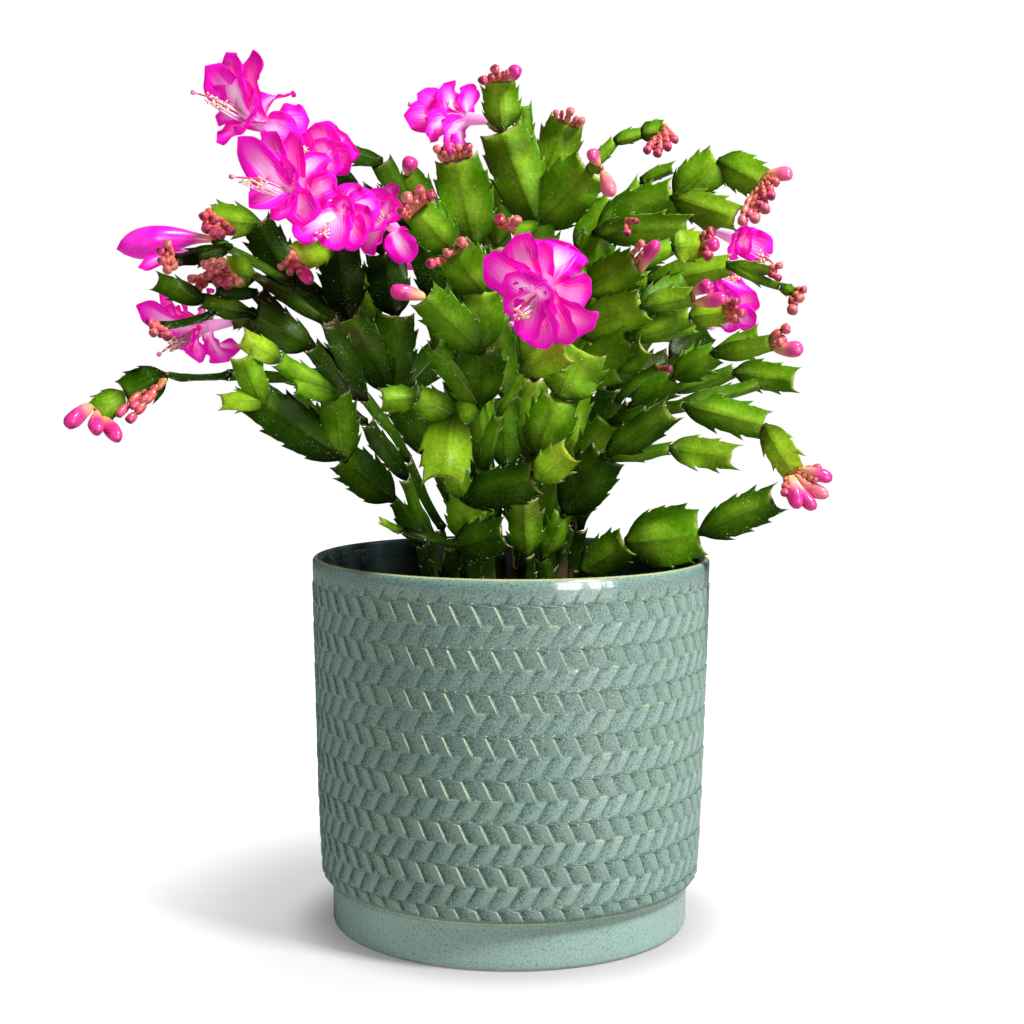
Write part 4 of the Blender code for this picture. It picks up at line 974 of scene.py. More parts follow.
def swell_of(blade, draw):
    """How much wider or narrower than usual each half of a segment is along its length."""
    halves = []
    for _ in range(2):
        plain = draw.uniform(*SWELLS)
        tall = draw.uniform(*SWELL_WAVES)
        halves.append(plain + tall * np.sin(WAVE_TURN * blade.rise + draw.uniform(*SWELL_PHASES)))
    return np.where(COLUMNS < 0, *halves)


def ahead_of(blade, horns, draw):
    """How far along each point of a segment lies, with the horns and the ragged line at its end."""
    lead = smooth_through(blade.row, EDGE_AHEAD)
    lead = lead + (horns - PLAIN_HORN) * eased(blade.rise, HORN_START, LAST_SHARE)
    bend = END_BEND + END_BEND_MORE * blade.rise ** 6
    steps = [0, *(draw.uniform(-RAGGED, RAGGED) for _ in range(3)), 0]
    ragged = np.interp(blade.off, RAGGED_PLACES, steps) * eased(blade.rise, RAGGED_START, LAST_SHARE)
    return blade.length * (blade.row + lead * blade.off ** bend + ragged)


def lean_of(blade, reach, fold, arch, draw):
    """How far each point of a segment leans out: arched, folded, curled, waved and twisted."""
    phases = for_each_edge(COLUMNS, 0, WAVE_TURN, draw)
    tall = draw.uniform(*WAVES) * blade.width
    wave = tall * np.sin(WAVE_TURN * draw.uniform(*WAVE_COUNTS) * blade.row + phases) * blade.off ** 2
    twist = draw.uniform(*TWISTS) * (blade.rise - 0.5) * reach
    curl = draw.uniform(*CURLS) * blade.length * eased(blade.rise, CURL_START, 1.0)
    arched = 4 * arch * blade.length * blade.row * (1 - blade.row)
    folded = fold * blade.half * FOLD_DEPTH * blade.off ** FOLD_POWER
    return arched - folded + curl + (wave + twist) * eased(blade.rise, 0.0, WAVE_FULL)


def thickness_of(blade, reach, youth_and_painted_light):
    """Half the thickness of a segment at each point: its body, its midrib and its neck."""
    body = (BODY_THICKNESS - YOUNG_THINNER * youth_and_painted_light) * (1 - blade.off ** 4)
    rib = (RIB_THICKNESS - RIB_THINNER * blade.rise) * np.exp(-((reach / RIB_WIDTH) ** 2))
    neck = NECK_THICKNESS * np.clip(1 - blade.row / NECK_SHARE, 0, 1) * (1 - blade.off ** 2)
    return body + rib + neck


def add_segment(shape, start, tip, size, fold, arch, youth_and_painted_light, horn, woody, draw):
    """One flat segment of a stem, with its teeth, its midrib and the two horns at its end."""
    width, turn = size
    along, side, outward = (np.array(way) for way in blade_frame(start, tip, turn))
    start = np.array(start)
    length = np.linalg.norm(np.array(tip) - start)
    kind = "broad" if width > BROAD_WIDTH else "middle" if width > MIDDLE_WIDTH else "slim"
    rows, points, push, stand = toothed_edges(kind, length, draw)
    row = rows[:, None]
    half = smooth_through(row, SLIM_HALF if kind == "slim" else BROAD_HALF) * width
    blade = SimpleNamespace(
        width=width, length=length, row=row, rise=np.clip(row, 0, 1), off=np.abs(COLUMNS), half=half,
    )
    horns = horn + for_each_edge(COLUMNS, *HORN_STRAY, draw)
    reach = half * COLUMNS * swell_of(blade, draw) + stand * np.sign(COLUMNS)
    ahead = ahead_of(blade, horns, draw) + push
    lean = lean_of(blade, reach, fold, arch, draw)
    face = start + ahead[..., None] * along + reach[..., None] * side + lean[..., None] * outward
    wood = LEAF + (WOOD - LEAF) * woody * (1 - eased(blade.rise, *WOOD_FADE))
    add_blade(shape, face, thickness_of(blade, reach, youth_and_painted_light), outward, paint_of(youth_and_painted_light, blade.off, row, wood))
    for point in points:
        for column in (0, -1):
            if draw.random() < AREOLE_SHARE:
                notch = int(np.argmin(np.abs(rows - point - NOTCH)))
                add_areole(shape, face[notch, column], along, draw)
    for share in END_AREOLES:
        if draw.random() < AREOLE_SHARE:
            column = int(np.argmin(np.abs(COLUMNS - share)))
            add_areole(shape, face[-1, column], along, draw)


def add_areole(shape, place, along, draw):
    """The pale woolly dot in a notch, with the few bristles that stand in it."""
    ends = np.linspace(-WOOL_HALF, WOOL_HALF, len(WOOL_RADII))[:, None] * along
    add_tube(shape, place + ends, WOOL_RADII, 6, (0, 0, 0, WOOL))
    for _ in range(draw.randint(0, MOST_BRISTLES)):
        way = along + random_way(draw, BRISTLE_STRAY)
        way *= draw.uniform(*BRISTLE_LENGTHS) / np.linalg.norm(way)
        steps = np.linspace(0, 1, len(BRISTLE_RADII))[:, None]
        add_tube(shape, place + way * steps, BRISTLE_RADII, 3, (0, 1, 0, WOOL))


def branch_start(shape, name, start, first):
    """Where a branch begins: on its own foot in the soil, or in the end of another segment."""
    if start[0] != "soil":
        fork = joint_place(name, *start)
        return fork - (seen(*first[:3]) - fork).normalized() * SEGMENT_OVERLAP
    top = Vector((start[1], start[2], SOIL_TOP + STEM_RISE))
    foot = top - Vector((0, 0, FOOT_SUNK))
    line = np.array([foot.lerp(top, share) for share in FOOT_SHARES])
    add_tube(shape, line, FOOT_RADII, 10, (0, 0, 0, WOOD), FOOT_RIDGE, FOOT_TWIST)
    return top


def ages_and_light_of(name, first, up, depth):
    """Between which values a segment's age lies when it isn't given, with painted shade for the first and the
    shaded ones and painted light for the sunny ones.
    """
    if first:
        return FIRST_YOUTH
    if name in SHADED_STEMS or (up < SHADED_HEIGHT and depth > SHADED_DEPTH):
        return SHADED_YOUTH
    return SUNNY_YOUTH if name in SUNNY_STEMS else PLAIN_YOUTH


def add_stem(name, branches, finish, bud_finish):
    """One leafy stem: the segments of all its branches, and the small buds that it carries."""
    shape = Shape()
    shaping = random.Random(name)
    draw = random.Random(name + "_detail")
    for number, (start, *segments) in enumerate(branches):
        here = branch_start(shape, name, start, segments[0])
        for order, (across, up, depth, *size) in enumerate(segments):
            there = seen(across, up, depth)
            fold = shaping.uniform(*FOLDS)
            arch = shaping.uniform(*ARCHES)
            key = (name, number, order)
            first = start[0] == "soil" and order == 0
            # How young a segment is also carries painted shade and light: dark in the shade, pale on the
            # sunny side
            youth_and_painted_light = YOUNG.get(key, draw.uniform(*ages_and_light_of(name, first, up, depth)))
            goes_on = key in BEARERS or order + 1 < len(segments)
            horn = PLAIN_HORN if goes_on else draw.uniform(*LAST_HORNS)
            woody = FIRST_WOODY if first else 0.0
            add_segment(shape, here, there, size, fold, arch, youth_and_painted_light, horn, woody, draw)
            here = there
    shape.made(name + "_looks", finish, "stem_green", name)
    carried = [buds for buds in SMALL_BUDS if buds[0][0] == name]
    if carried:
        small = Shape()
        for bearer, tips in carried:
            add_bud_fan(small, bearer, tips, SMALL_SUNK, draw)
        small.made(name + "_small_buds", bud_finish, "bud_coral")


def end_of(bearer):
    """The tip of a segment, the ways along it, across it and out of it there, and its width."""
    stem, number, order = bearer
    start, *segments = STEMS[stem][number]
    before = joint_place(stem, number, order - 1) if order > 0 else joint_place(stem, *start)
    tip = joint_place(*bearer)
    width, turn = segments[order][3:]
    return (tip, *blade_frame(before, tip, turn), width)


def add_bud(shape, root, tip, girth, kind, draw):
    """A bud: a full teardrop when it is large, and else a few beads in a row."""
    root, tip = np.array(root), np.array(tip)
    length = np.linalg.norm(tip - root)
    if girth >= LARGE_BUD:
        steps = np.linspace(0, 1, BUD_RINGS)
        radii = girth * smooth_through(steps, GREAT_PROFILE if girth > GREAT_GIRTH else BUD_PROFILE)
        beaded = 1.0
    else:
        beads = int(np.clip(round(length / (BEAD_LENGTH * girth)), *BEADS))
        steps = np.linspace(0, 1, BEAD_RINGS * beads + 1)
        beaded = np.abs(np.sin(math.pi * beads * steps)) ** BEAD_POWER
        radii = girth * (BEAD_NECK + (1 - BEAD_NECK) * beaded) * (BEAD_FIRST + (1 - BEAD_FIRST) * steps)
    radii[[0, -1]] = 0
    bow = random_way(draw) * (BUD_BOW * length)
    centres = root + (tip - root) * steps[:, None] + bow * np.sin(math.pi * steps)[:, None]
    paint = paint_of(steps, kind, draw.random(), beaded)
    add_tube(shape, centres, radii, BUD_SIDES, paint, BUD_RIDGE, draw.uniform(*BUD_TWISTS))


def add_bud_fan(shape, bearer, tips, sunk, draw):
    """A fan of buds side by side along the end of a segment, with smaller ones between them."""
    end, along, side, outward, width = end_of(bearer)
    alone = len(tips) == 1
    middle = end + along * (-sunk if alone else FAN_ROW_RADIUS - sunk)
    reach = side * (FAN_REACH * width)
    buds = sorted(((seen(*tip[:3]), tip[3]) for tip in tips), key=lambda bud: (bud[0] - end).dot(side))
    roots = []
    for order, (tip, girth) in enumerate(buds):
        share = 0 if alone else 2 * order / (len(buds) - 1) - 1
        roots.append(middle + reach * (FAN_ROOTS * share))
        if girth < LARGE_BUD:
            kind = draw.uniform(*SMALL_KINDS)
        else:
            kind = GREAT_KIND if girth > GREAT_GIRTH else LARGE_KIND
        add_bud(shape, roots[-1], tip, girth, kind, draw)
    if alone:
        return
    shares = np.linspace(0, 1, FAN_STEPS)
    line = np.array([(middle - reach).lerp(middle + reach, share) for share in shares])
    add_tube(shape, line, FAN_ROW_RADIUS * np.sin(math.pi * shares) ** 0.5, 8, STALK_PAINT)
    for order in range(len(buds) - 1):
        root = (roots[order] + roots[order + 1]) / 2
        add_buds_between(shape, buds[order], buds[order + 1], root, side, outward, draw)


def add_buds_between(shape, one, other, root, side, outward, draw):
    """The smaller buds behind and before the gap between two buds of a fan."""
    girth = min(one[1], other[1])
    if girth >= LARGE_BUD:
        return
    way = (one[0] + other[0]) / 2 - root
    for layer in LAYERS:
        tip = root + way * draw.uniform(*BETWEEN_REACH) + outward * (layer * draw.uniform(*LAYER_GAPS))
        tip += side * draw.uniform(-BETWEEN_STRAY, BETWEEN_STRAY)
        add_bud(shape, root, tip, girth * draw.uniform(*BETWEEN_SIZES), draw.uniform(*BETWEEN_KINDS), draw)


def add_petal(shape, root, tip, width, axis, draw):
    """One petal: thin, hollowed along its middle, rounded and a little ruffled at its end."""
    root, tip = np.array(root), np.array(tip)
    length = np.linalg.norm(tip - root)
    along = (tip - root) / length
    side = np.cross(along, np.array(axis))
    if np.linalg.norm(side) < LEAST_SIDE:
        side = np.array(Vector(along).orthogonal())
    side /= np.linalg.norm(side)
    outward = np.cross(side, along)
    row = (np.sin(np.linspace(0, math.pi / 2, PETAL_ROWS)) ** 0.9)[:, None]
    off = np.abs(PETAL_COLUMNS)
    half = np.maximum(smooth_through(row, PETAL_OUTLINE), LEAST_HALF)
    reach = half * width * PETAL_COLUMNS
    ahead = length * (row - TIP_BACK * off ** 2 * row ** 8)
    bow = PETAL_BOW * row ** 0.9 * (1 - row) ** 1.5 * length * draw.uniform(*PETAL_BOWS)
    cup = PETAL_CUP * half * width * off ** 2 * (1 - 1.1 * row ** 3)
    phases = for_each_edge(PETAL_COLUMNS, 0, WAVE_TURN, draw)
    ruffle = PETAL_RUFFLE * width * np.sin(2 * math.pi * draw.uniform(*RUFFLE_COUNTS) * row + phases)
    ruffle = ruffle * off ** 2.2 * eased(row, *RUFFLE_FADE)
    groove = PETAL_GROOVE * np.exp(-((PETAL_COLUMNS / GROOVE_WIDTH) ** 2)) * np.sin(math.pi * row)
    lift = bow + cup + ruffle - groove * inside_of(reach)
    face = root + ahead[..., None] * along + reach[..., None] * side + lift[..., None] * outward
    thick = np.broadcast_to(PETAL_THICKNESS * (1 - off ** 4), reach.shape)
    add_blade(shape, face, thick, outward, paint_of(row, off, draw.random(), 1))


def add_bloom(name, bearer, mouth, stigma, tips, petal_finish, stamen_finish):
    """One bloom: its tube, its two whorls of petals, and its stamens round the long style."""
    draw = random.Random(name)
    end, along = end_of(bearer)[:2]
    base, mouth, stigma = end + along * TUBE_START, seen(*mouth), seen(*stigma)
    axis = (mouth - base).normalized()
    shape = Shape()
    steps = np.linspace(0, 1, TUBE_STEPS)
    tube = np.array(base) + np.array(mouth - base) * steps[:, None]
    girths = np.interp(steps, TUBE_SHARES, TUBE_RADII)
    add_tube(shape, tube, girths, TUBE_SIDES, TUBE_PAINT, TUBE_RIDGE, TUBE_TWIST)
    petals = []
    for number, (*place, width) in enumerate(tips):
        tip = seen(*place)
        way = tip - mouth
        way = (way - axis * way.dot(axis)).normalized()
        back = UPPER_WHORL if number % 2 else LOWER_WHORL
        root = mouth - axis * (back * (mouth - base).length) + way * ROOT_OUT
        petals.append((way, tip, width))
        add_petal(shape, root, tip, width, axis, draw)
    add_inner_petals(shape, petals, mouth, axis, draw)
    shape.made(name + "_looks", petal_finish, "petal_magenta", name)
    threads = Shape()
    add_stamens(threads, np.array(mouth), np.array(stigma), np.array(axis), draw)
    nodes = [name + "_stamens"] if name in OPEN_BLOOMS else []
    threads.made(name + "_threads", stamen_finish, "stamen_pale", *nodes)


def add_loose_petal(finish):
    """The first petal that has come loose below the great bud."""
    shape = Shape()
    axis = Vector(LOOSE_AXIS).normalized()
    add_petal(shape, seen(*LOOSE_ROOT), seen(*LOOSE_TIP), LOOSE_WIDTH, axis, random.Random("loose_petal"))
    shape.made("bud_great_left_petal", finish, "petal_magenta")


def add_inner_petals(shape, petals, mouth, axis, draw):
    """Smaller petals, which stand more upright, one between each two of the others."""
    about = axis.orthogonal().normalized()
    other = axis.cross(about)
    ranked = sorted(petals, key=lambda petal: math.atan2(petal[0].dot(other), petal[0].dot(about)))
    for one, following in zip(ranked, ranked[1:] + ranked[:1]):
        way = one[0] + following[0]
        if way.length < LEAST_WAY:
            continue
        way.normalize()
        size = INNER_SIZE * ((one[1] - mouth).length + (following[1] - mouth).length)
        tip = mouth + way * (INNER_OUT * size) + axis * (INNER_UP * size)
        root = mouth - axis * INNER_SUNK + way * INNER_ROOT_OUT
        add_petal(shape, root, tip, INNER_WIDTH * (one[2] + following[2]), axis, draw)


def add_stamens(shape, mouth, stigma, axis, draw):
    """The bundle of pale threads with their anthers, round the style and its divided stigma."""
    reach = stigma - mouth
    length = np.linalg.norm(reach)
    root = mouth - axis * THREAD_SUNK
    up = np.array((0, 0, 1.0))
    steps = np.linspace(0, 1, len(THREAD_RADII))[:, None]
    bow = np.sin(math.pi * steps)
    for _ in range(STAMEN_COUNT):
        stray = np.array([draw.gauss(0, 1) for _ in range(3)])
        stray /= np.linalg.norm(stray)
        end = mouth + reach * draw.uniform(*STAMEN_REACH) + stray * draw.uniform(*STAMEN_SPREAD)
        start = root + stray * THREAD_GAP
        line = start + (end - start) * steps + (stray * THREAD_BOW - up * (THREAD_SAG * length)) * bow
        add_tube(shape, line, THREAD_RADII, 5, (0.0, draw.random(), 0, 1))
        anther = end + stray * np.linspace(-ANTHER_HALF, ANTHER_HALF, len(ANTHER_RADII))[:, None]
        add_tube(shape, anther, ANTHER_RADII, 6, (0.5, draw.random(), 0, 1))
    steps = np.linspace(0, 1, len(STYLE_RADII))[:, None]
    style = root + (stigma - root) * steps + up * (STYLE_RISE * length) * np.sin(math.pi * steps)
    add_tube(shape, style, STYLE_RADII, 7, STYLE_PAINT)
    add_lobes(shape, stigma, reach / length)


def add_lobes(shape, stigma, way):
    """The lobes of the stigma, which spread a little from the end of the style."""
    first = np.array(Vector(way).orthogonal().normalized())
    second = np.cross(way, first)
    steps = np.linspace(0, 1, len(LOBE_RADII))[:, None]
    for lobe in range(LOBES):
        angle = 2 * math.pi * lobe / LOBES
        out = first * math.cos(angle) + second * math.sin(angle)
        line = stigma - way * LOBE_SUNK + (way * LOBE_LENGTH + out * LOBE_SPREAD) * steps
        add_tube(shape, line, LOBE_RADII, 6, LOBE_PAINT)


def body_radius(height):
    """The pot's outer radius, which swells quickly over the shoulder and then slowly to the rim."""
    share = np.clip((height - FOOT_HEIGHT) / (POT_HEIGHT - FOOT_HEIGHT), 0, 1)
    return SHOULDER_RADIUS + (BODY_RADIUS - SHOULDER_RADIUS) * share ** SWELL_POWER


def place_on_relief(height):
    """Which row a height is in, how far down it, and how far its cells have slipped round by there."""
    rows = (FIRST_ROW - height) / ROW_HEIGHT
    row = np.floor(rows)
    down = rows - row
    pair = np.floor(row / 2)
    odd = row - 2 * pair
    lean = BACK_LEAN + (FRONT_LEAN - BACK_LEAN) * odd
    slip = FIRST_SLIP + PAIR_SLIP * pair + ODD_SLIP * odd
    return row, down, odd, slip + CELL_DEGREES * lean * down


def relief(cell, height):
    """How far the herringbone stands out: each cell rises slowly to its crest and drops at once."""
    row, down, odd, slipped = place_on_relief(height)
    part = np.mod(cell - slipped / CELL_DEGREES, 1.0)
    rising = np.clip((part - FALL) / (1 - FALL), 0, 1)
    low = eased(height, DEEPER_FROM, DEEPEST_FROM)
    saw = np.where(part < FALL, 1 - part / FALL, rising ** (CREST_POWER - CREST_SOFTER * low))
    ends = eased(down, 0.0, END_SHARE) * eased(1 - down, 0.0, END_SHARE)
    ends = END_HEIGHT + (1 - END_HEIGHT) * ends
    fade = np.where(row < 0, ABOVE_FADE, np.where(odd > 0, ODD_FADE, 1.0))
    return RELIEF_DEPTH * (1 + DEEPER_BELOW * low) * fade * ends * (saw - 0.5)


def pot_profile():
    """The radii and heights of the pot's rings, from under its foot over its rim to its floor."""
    lines = [(FOOT_RADIUS - FOOT_INSET, 0.0), (FOOT_RADIUS - FOOT_ROUNDING, 0.0)]
    for step in FOOT_STEPS:
        radius = FOOT_RADIUS - FOOT_ROUNDING * (1 - math.sin(step))
        lines.append((radius, FOOT_ROUNDING * (1 - math.cos(step))))
    lines += [(FOOT_RADIUS, height) for height in FOOT_HEIGHTS]
    lines += SHOULDER_PROFILE
    heights = np.arange(FIRST_ROW - ROWS * ROW_HEIGHT, RELIEF_TOP, ROW_HEIGHT / ROW_POINTS)
    lines += [(body_radius(height), height) for height in heights[heights > RELIEF_BOTTOM]]
    for step in np.linspace(RIM_START, math.pi - RIM_START, RIM_STEPS):
        radius = BODY_RADIUS - WALL / 2 + WALL / 2 * math.cos(step)
        lines.append((radius, POT_HEIGHT - RIM_ROUNDING + RIM_ROUNDING * math.sin(step)))
    lines += INSIDE_PROFILE
    return (np.array(column, float) for column in zip(*lines))


def add_pot(finish):
    """The glazed pot: its foot, its shoulder, its relief, its rim and its inside."""
    cells = (np.arange(CELLS)[:, None] + np.array(CELL_SHARES)).ravel()
    radii, heights = pot_profile()
    outside = (heights > RELIEF_BOTTOM) & (heights <= RELIEF_TOP) & (radii > SHOULDER_RADIUS)
    row, _, odd, slipped = place_on_relief(heights)
    turned = np.where(outside, slipped + CELL_DEGREES * (np.floor(row / 2) + odd / 2), 0)
    turned[heights > RELIEF_TOP] = turned[outside][-1]
    turned[:int(np.argmax(outside))] = turned[outside][0]
    places = cells + turned[:, None] / CELL_DEGREES
    reach = radii[:, None] + relief(places, heights[:, None]) * outside[:, None]
    angle = np.radians(CELL_DEGREES * places)
    rings = np.stack((reach * np.cos(angle), reach * np.sin(angle), heights[:, None] + 0 * reach), -1)
    points = np.concatenate((rings.reshape(-1, 3), ((0, 0, 0), (0, 0, FLOOR_THICKNESS))))
    within = np.zeros(len(radii))
    within[int(np.argmax(heights)):] = 1
    within = np.concatenate((np.repeat(within, len(cells)), (0, 0)))
    shape = Shape()
    shape.add(points, paint_of(within, 0, 0, 1), *ring_faces(len(radii), len(cells)))
    shape.made("pot_looks", finish, "celadon_glaze", "pot")


def soil_bumps(x, y, draw):
    """The rise and fall of the soil's crumbly top, from waves of three sizes that run all ways."""
    bumps = np.zeros_like(x)
    for size, tall in SOIL_WAVES:
        for _ in range(WAVES_OF_A_SIZE):
            heading = draw.uniform(0, WAVE_TURN)
            across = (x * math.cos(heading) + y * math.sin(heading)) / size * 2 * math.pi
            bumps += tall / 3 * np.sin(across + draw.uniform(0, WAVE_TURN))
    return bumps


def add_crumbs(shape, radius, draw):
    """The loose crumbs on the soil, dark ones and a few pale ones."""
    for _ in range(CRUMBS):
        away = radius * CRUMB_REACH * math.sqrt(draw.random())
        heading = draw.uniform(0, WAVE_TURN)
        place = np.array((away * math.cos(heading), away * math.sin(heading), SOIL_TOP + CRUMB_RISE))
        way = random_way(draw)
        way *= draw.uniform(*CRUMB_LENGTHS) / np.linalg.norm(way)
        size = draw.uniform(*CRUMB_SIZES)
        line = place + way * np.linspace(-0.5, 0.5, len(CRUMB_RADII))[:, None]
        shade = 1.0 if draw.random() < PALE_CRUMBS else draw.uniform(*CRUMB_SHADES)
        add_tube(shape, line, np.array(CRUMB_RADII) * size, 7, (shade, 0, 0, 1), CRUMB_RIDGE, CRUMB_TWIST)


def add_soil(finish):
    """The soil: a body with a crumbly top and loose crumbs on it."""
    draw = random.Random("soil")
    low = FLOOR_THICKNESS + SOIL_GAP
    radius = BODY_RADIUS - WALL - SOIL_SLACK
    angle = 2 * math.pi * np.arange(SOIL_SIDES) / SOIL_SIDES
    lines = [(INSIDE_FLOOR_RADIUS - SOIL_INSET, low), (radius, SOIL_TOP - SOIL_EDGE)]
    lines += [(radius * share, SOIL_TOP) for share in np.linspace(1, SOIL_MIDDLE, SOIL_RINGS)]
    radii, heights = (np.array(column)[:, None] for column in zip(*lines))
    x, y = radii * np.cos(angle), radii * np.sin(angle)
    z = heights + soil_bumps(x, y, draw) * (heights >= SOIL_TOP)
    ends = ((0, 0, low), (0, 0, z[-1].mean()))
    points = np.concatenate((np.stack((x, y, z), -1).reshape(-1, 3), ends))
    shape = Shape()
    shape.add(points, np.full((len(points), 4), 0.5), *ring_faces(len(lines), SOIL_SIDES))
    add_crumbs(shape, radius, draw)
    shape.made("soil_looks", finish, "potting_soil", "soil")


class Network:
    """The nodes of one material or group, with a short way to add each kind that is needed."""

    def __init__(self, tree):
        self.tree = tree

    def node(self, kind, **settings):
        """Add a node and set it up."""
        made = self.tree.nodes.new(kind)
        for name, value in settings.items():
            setattr(made, name, value)
        return made

    def feed(self, socket, value):
        """Link an output to a socket, or set the socket to a plain value or colour."""
        if isinstance(value, bpy.types.NodeSocket):
            self.tree.links.new(value, socket)
        elif value is not None:
            socket.default_value = colour(value) if isinstance(value, tuple) else value

    def math(self, operation, *values):
        """One sum of up to three numbers."""
        made = self.node("ShaderNodeMath", operation=operation)
        for socket, value in zip(made.inputs, values):
            self.feed(socket, value)
        return made.outputs[0]

    def times(self, first, *others):
        """Numbers multiplied with each other."""
        for other in others:
            first = self.math("MULTIPLY", first, other)
        return first

    def step(self, value, low, high, start=0.0, end=1.0):
        """A smooth change from start to end as the value goes from low to high."""
        made = self.node("ShaderNodeMapRange", interpolation_type="SMOOTHSTEP")
        for socket, given in zip(made.inputs, (value, low, high, start, end)):
            self.feed(socket, given)
        return made.outputs[0]

    def between(self, value, low, low_full, high_full, high):
        """1 where the value lies between the full limits, falling off to 0 at the outer ones."""
        return self.times(self.step(value, low, low_full), self.step(value, high, high_full))

    def patches(self, where, scale, detail, low, high, start=0.0, end=1.0):
        """Cloudy patches, with start between them and end in their middle."""
        return self.step(self.noise(where, scale, detail), low, high, start, end)

    def mix(self, amount, one, other, blend="MIX"):
        """One colour laid over another."""
        made = self.node("ShaderNodeMix", data_type="RGBA", blend_type=blend, clamp_factor=True)
        self.feed(made.inputs["Factor"], amount)
        self.feed(made.inputs[6], one)
        self.feed(made.inputs[7], other)
        return made.outputs[2]

    def layered(self, shade, *layers):
        """A colour with layers over it, one after another, each an amount and a colour."""
        for amount, layer in layers:
            shade = self.mix(amount, shade, layer)
        return shade

    def darkened(self, amount, shade, by):
        """A colour that is partly multiplied by another."""
        return self.mix(amount, shade, self.mix(1.0, shade, by, "MULTIPLY"))

    def place(self):
        """Where a point lies on the object, in metres."""
        return self.node("ShaderNodeTexCoord").outputs["Object"]

    def noise(self, where, scale, detail=2.0, roughness=0.5):
        """A cloudy value."""
        made = self.node("ShaderNodeTexNoise")
        values = {"Vector": where, "Scale": scale, "Detail": detail, "Roughness": roughness}
        for name, value in values.items():
            self.feed(made.inputs[name], value)
        return made.outputs["Fac"]

    def painted(self):
        """The four values that a piece's mesh carries."""
        paint = self.node("ShaderNodeAttribute", attribute_name="paint")
        parts = self.node("ShaderNodeSeparateColor")
        self.feed(parts.inputs[0], paint.outputs["Color"])
        return (*parts.outputs, paint.outputs["Alpha"])

    def group(self, made, **given):
        """Place a group of nodes with its own values."""
        placed = self.node("ShaderNodeGroup", node_tree=made)
        for name, value in given.items():
            self.feed(placed.inputs[name], value)
        return placed.outputs[0]


def colour(parts):
    """A colour with the fourth value that Blender asks for."""
    return (*parts, 1.0)


def new_group(name, inputs, output):
    """An empty group with named inputs and one named output, and the ends of its network."""
    tree = bpy.data.node_groups.new(name, "ShaderNodeTree")
    for label, kind in inputs:
        tree.interface.new_socket(label, in_out="INPUT", socket_type=kind)
    tree.interface.new_socket(output[0], in_out="OUTPUT", socket_type=output[1])
    net = Network(tree)
    given = net.node("NodeGroupInput").outputs
    out = net.node("NodeGroupOutput").inputs[0]
    return tree, net, given, out


def mottle_group():
    """A colour that is lighter and darker in soft patches."""
    tree, net, given, out = new_group(
        "mottle",
        (("Colour", "NodeSocketColor"), ("Scale", "NodeSocketFloat"), ("Amount", "NodeSocketFloat")),
        ("Colour", "NodeSocketColor"),
    )
    cloud = net.noise(net.place(), given["Scale"], 3.0)
    swing = net.times(net.math("SUBTRACT", cloud, 0.5), given["Amount"], 2.0)
    level = net.math("ADD", swing, 1.0)
    grey = net.node("ShaderNodeCombineColor")
    for socket in grey.inputs[:3]:
        net.feed(socket, level)
    net.feed(out, net.mix(1.0, given["Colour"], grey.outputs[0], "MULTIPLY"))
    return tree


def specks_group():
    """A mask of small round specks, of which only a share of the possible ones show."""
    tree, net, given, out = new_group(
        "specks",
        (("Scale", "NodeSocketFloat"), ("Size", "NodeSocketFloat"), ("Share", "NodeSocketFloat")),
        ("Mask", "NodeSocketFloat"),
    )
    cells = net.node("ShaderNodeTexVoronoi")
    net.feed(cells.inputs["Vector"], net.place())
    net.feed(cells.inputs["Scale"], given["Scale"])
    edge = net.times(given["Size"], 0.6)
    dot = net.step(cells.outputs["Distance"], edge, given["Size"], 1.0, 0.0)
    pick = net.node("ShaderNodeSeparateColor")
    net.feed(pick.inputs[0], cells.outputs["Color"])
    shown = net.math("LESS_THAN", pick.outputs[0], given["Share"])
    net.feed(out, net.times(dot, shown))
    return tree


def new_material(name, **settings):
    """A material with a single shader, whose plain values are set on its own sockets."""
    made = bpy.data.materials.new(name)
    made.use_nodes = True
    net = Network(made.node_tree)
    shader = made.node_tree.nodes["Principled BSDF"]
    for label, value in settings.items():
        net.feed(shader.inputs[label.replace("_", " ")], value)
    return made, net, shader


def bumped(net, shader, height, depth, strength=1.0):
    """Raise the surface by a height between 0 and 1, depth metres deep."""
    bump = net.node("ShaderNodeBump")
    for name, value in (("Strength", strength), ("Distance", depth), ("Height", height)):
        net.feed(bump.inputs[name], value)
    net.feed(shader.inputs["Normal"], bump.outputs[0])


def leaf_green(net, youth_and_painted_light, off, row, patch):
    """The green of a segment: by its age, with painted light on its flat and painted shade at its base, at
    its edge and beside its midrib.
    """
    ripe = net.mix(net.step(youth_and_painted_light, 0.0, 0.4), OLD_GREEN, MID_GREEN)
    green = net.mix(net.step(youth_and_painted_light, 0.45, 1.0), ripe, YOUNG_GREEN)
    # Painted light: the flat of a segment is paler in patches, as where the light falls on it
    lit = net.times(
        net.step(off, 0.92, 0.28), net.step(patch, 0.3, 0.66, 0.05, 0.75),
        net.step(youth_and_painted_light, 0.03, 0.3, 0.03, 1.0),
    )
    green = net.mix(lit, green, net.mix(0.72, green, LIT_GREEN))
    # Painted shade: darker towards the rim, and at the base where the segment is overlapped
    green = net.darkened(net.step(off, 0.84, 1.0, 0.0, 0.40), green, RIM_SHADE)
    green = net.darkened(net.step(row, 0.48, 0.0, 0.0, 0.92), green, BASE_SHADE)
    # Painted shade in a narrow band on each side of the raised midrib
    rib_shade = net.times(net.between(off, 0.02, 0.10, 0.12, 0.26), net.step(row, 0.95, 0.3, 0.0, 0.45))
    return net.darkened(rib_shade, green, RIM_SHADE)


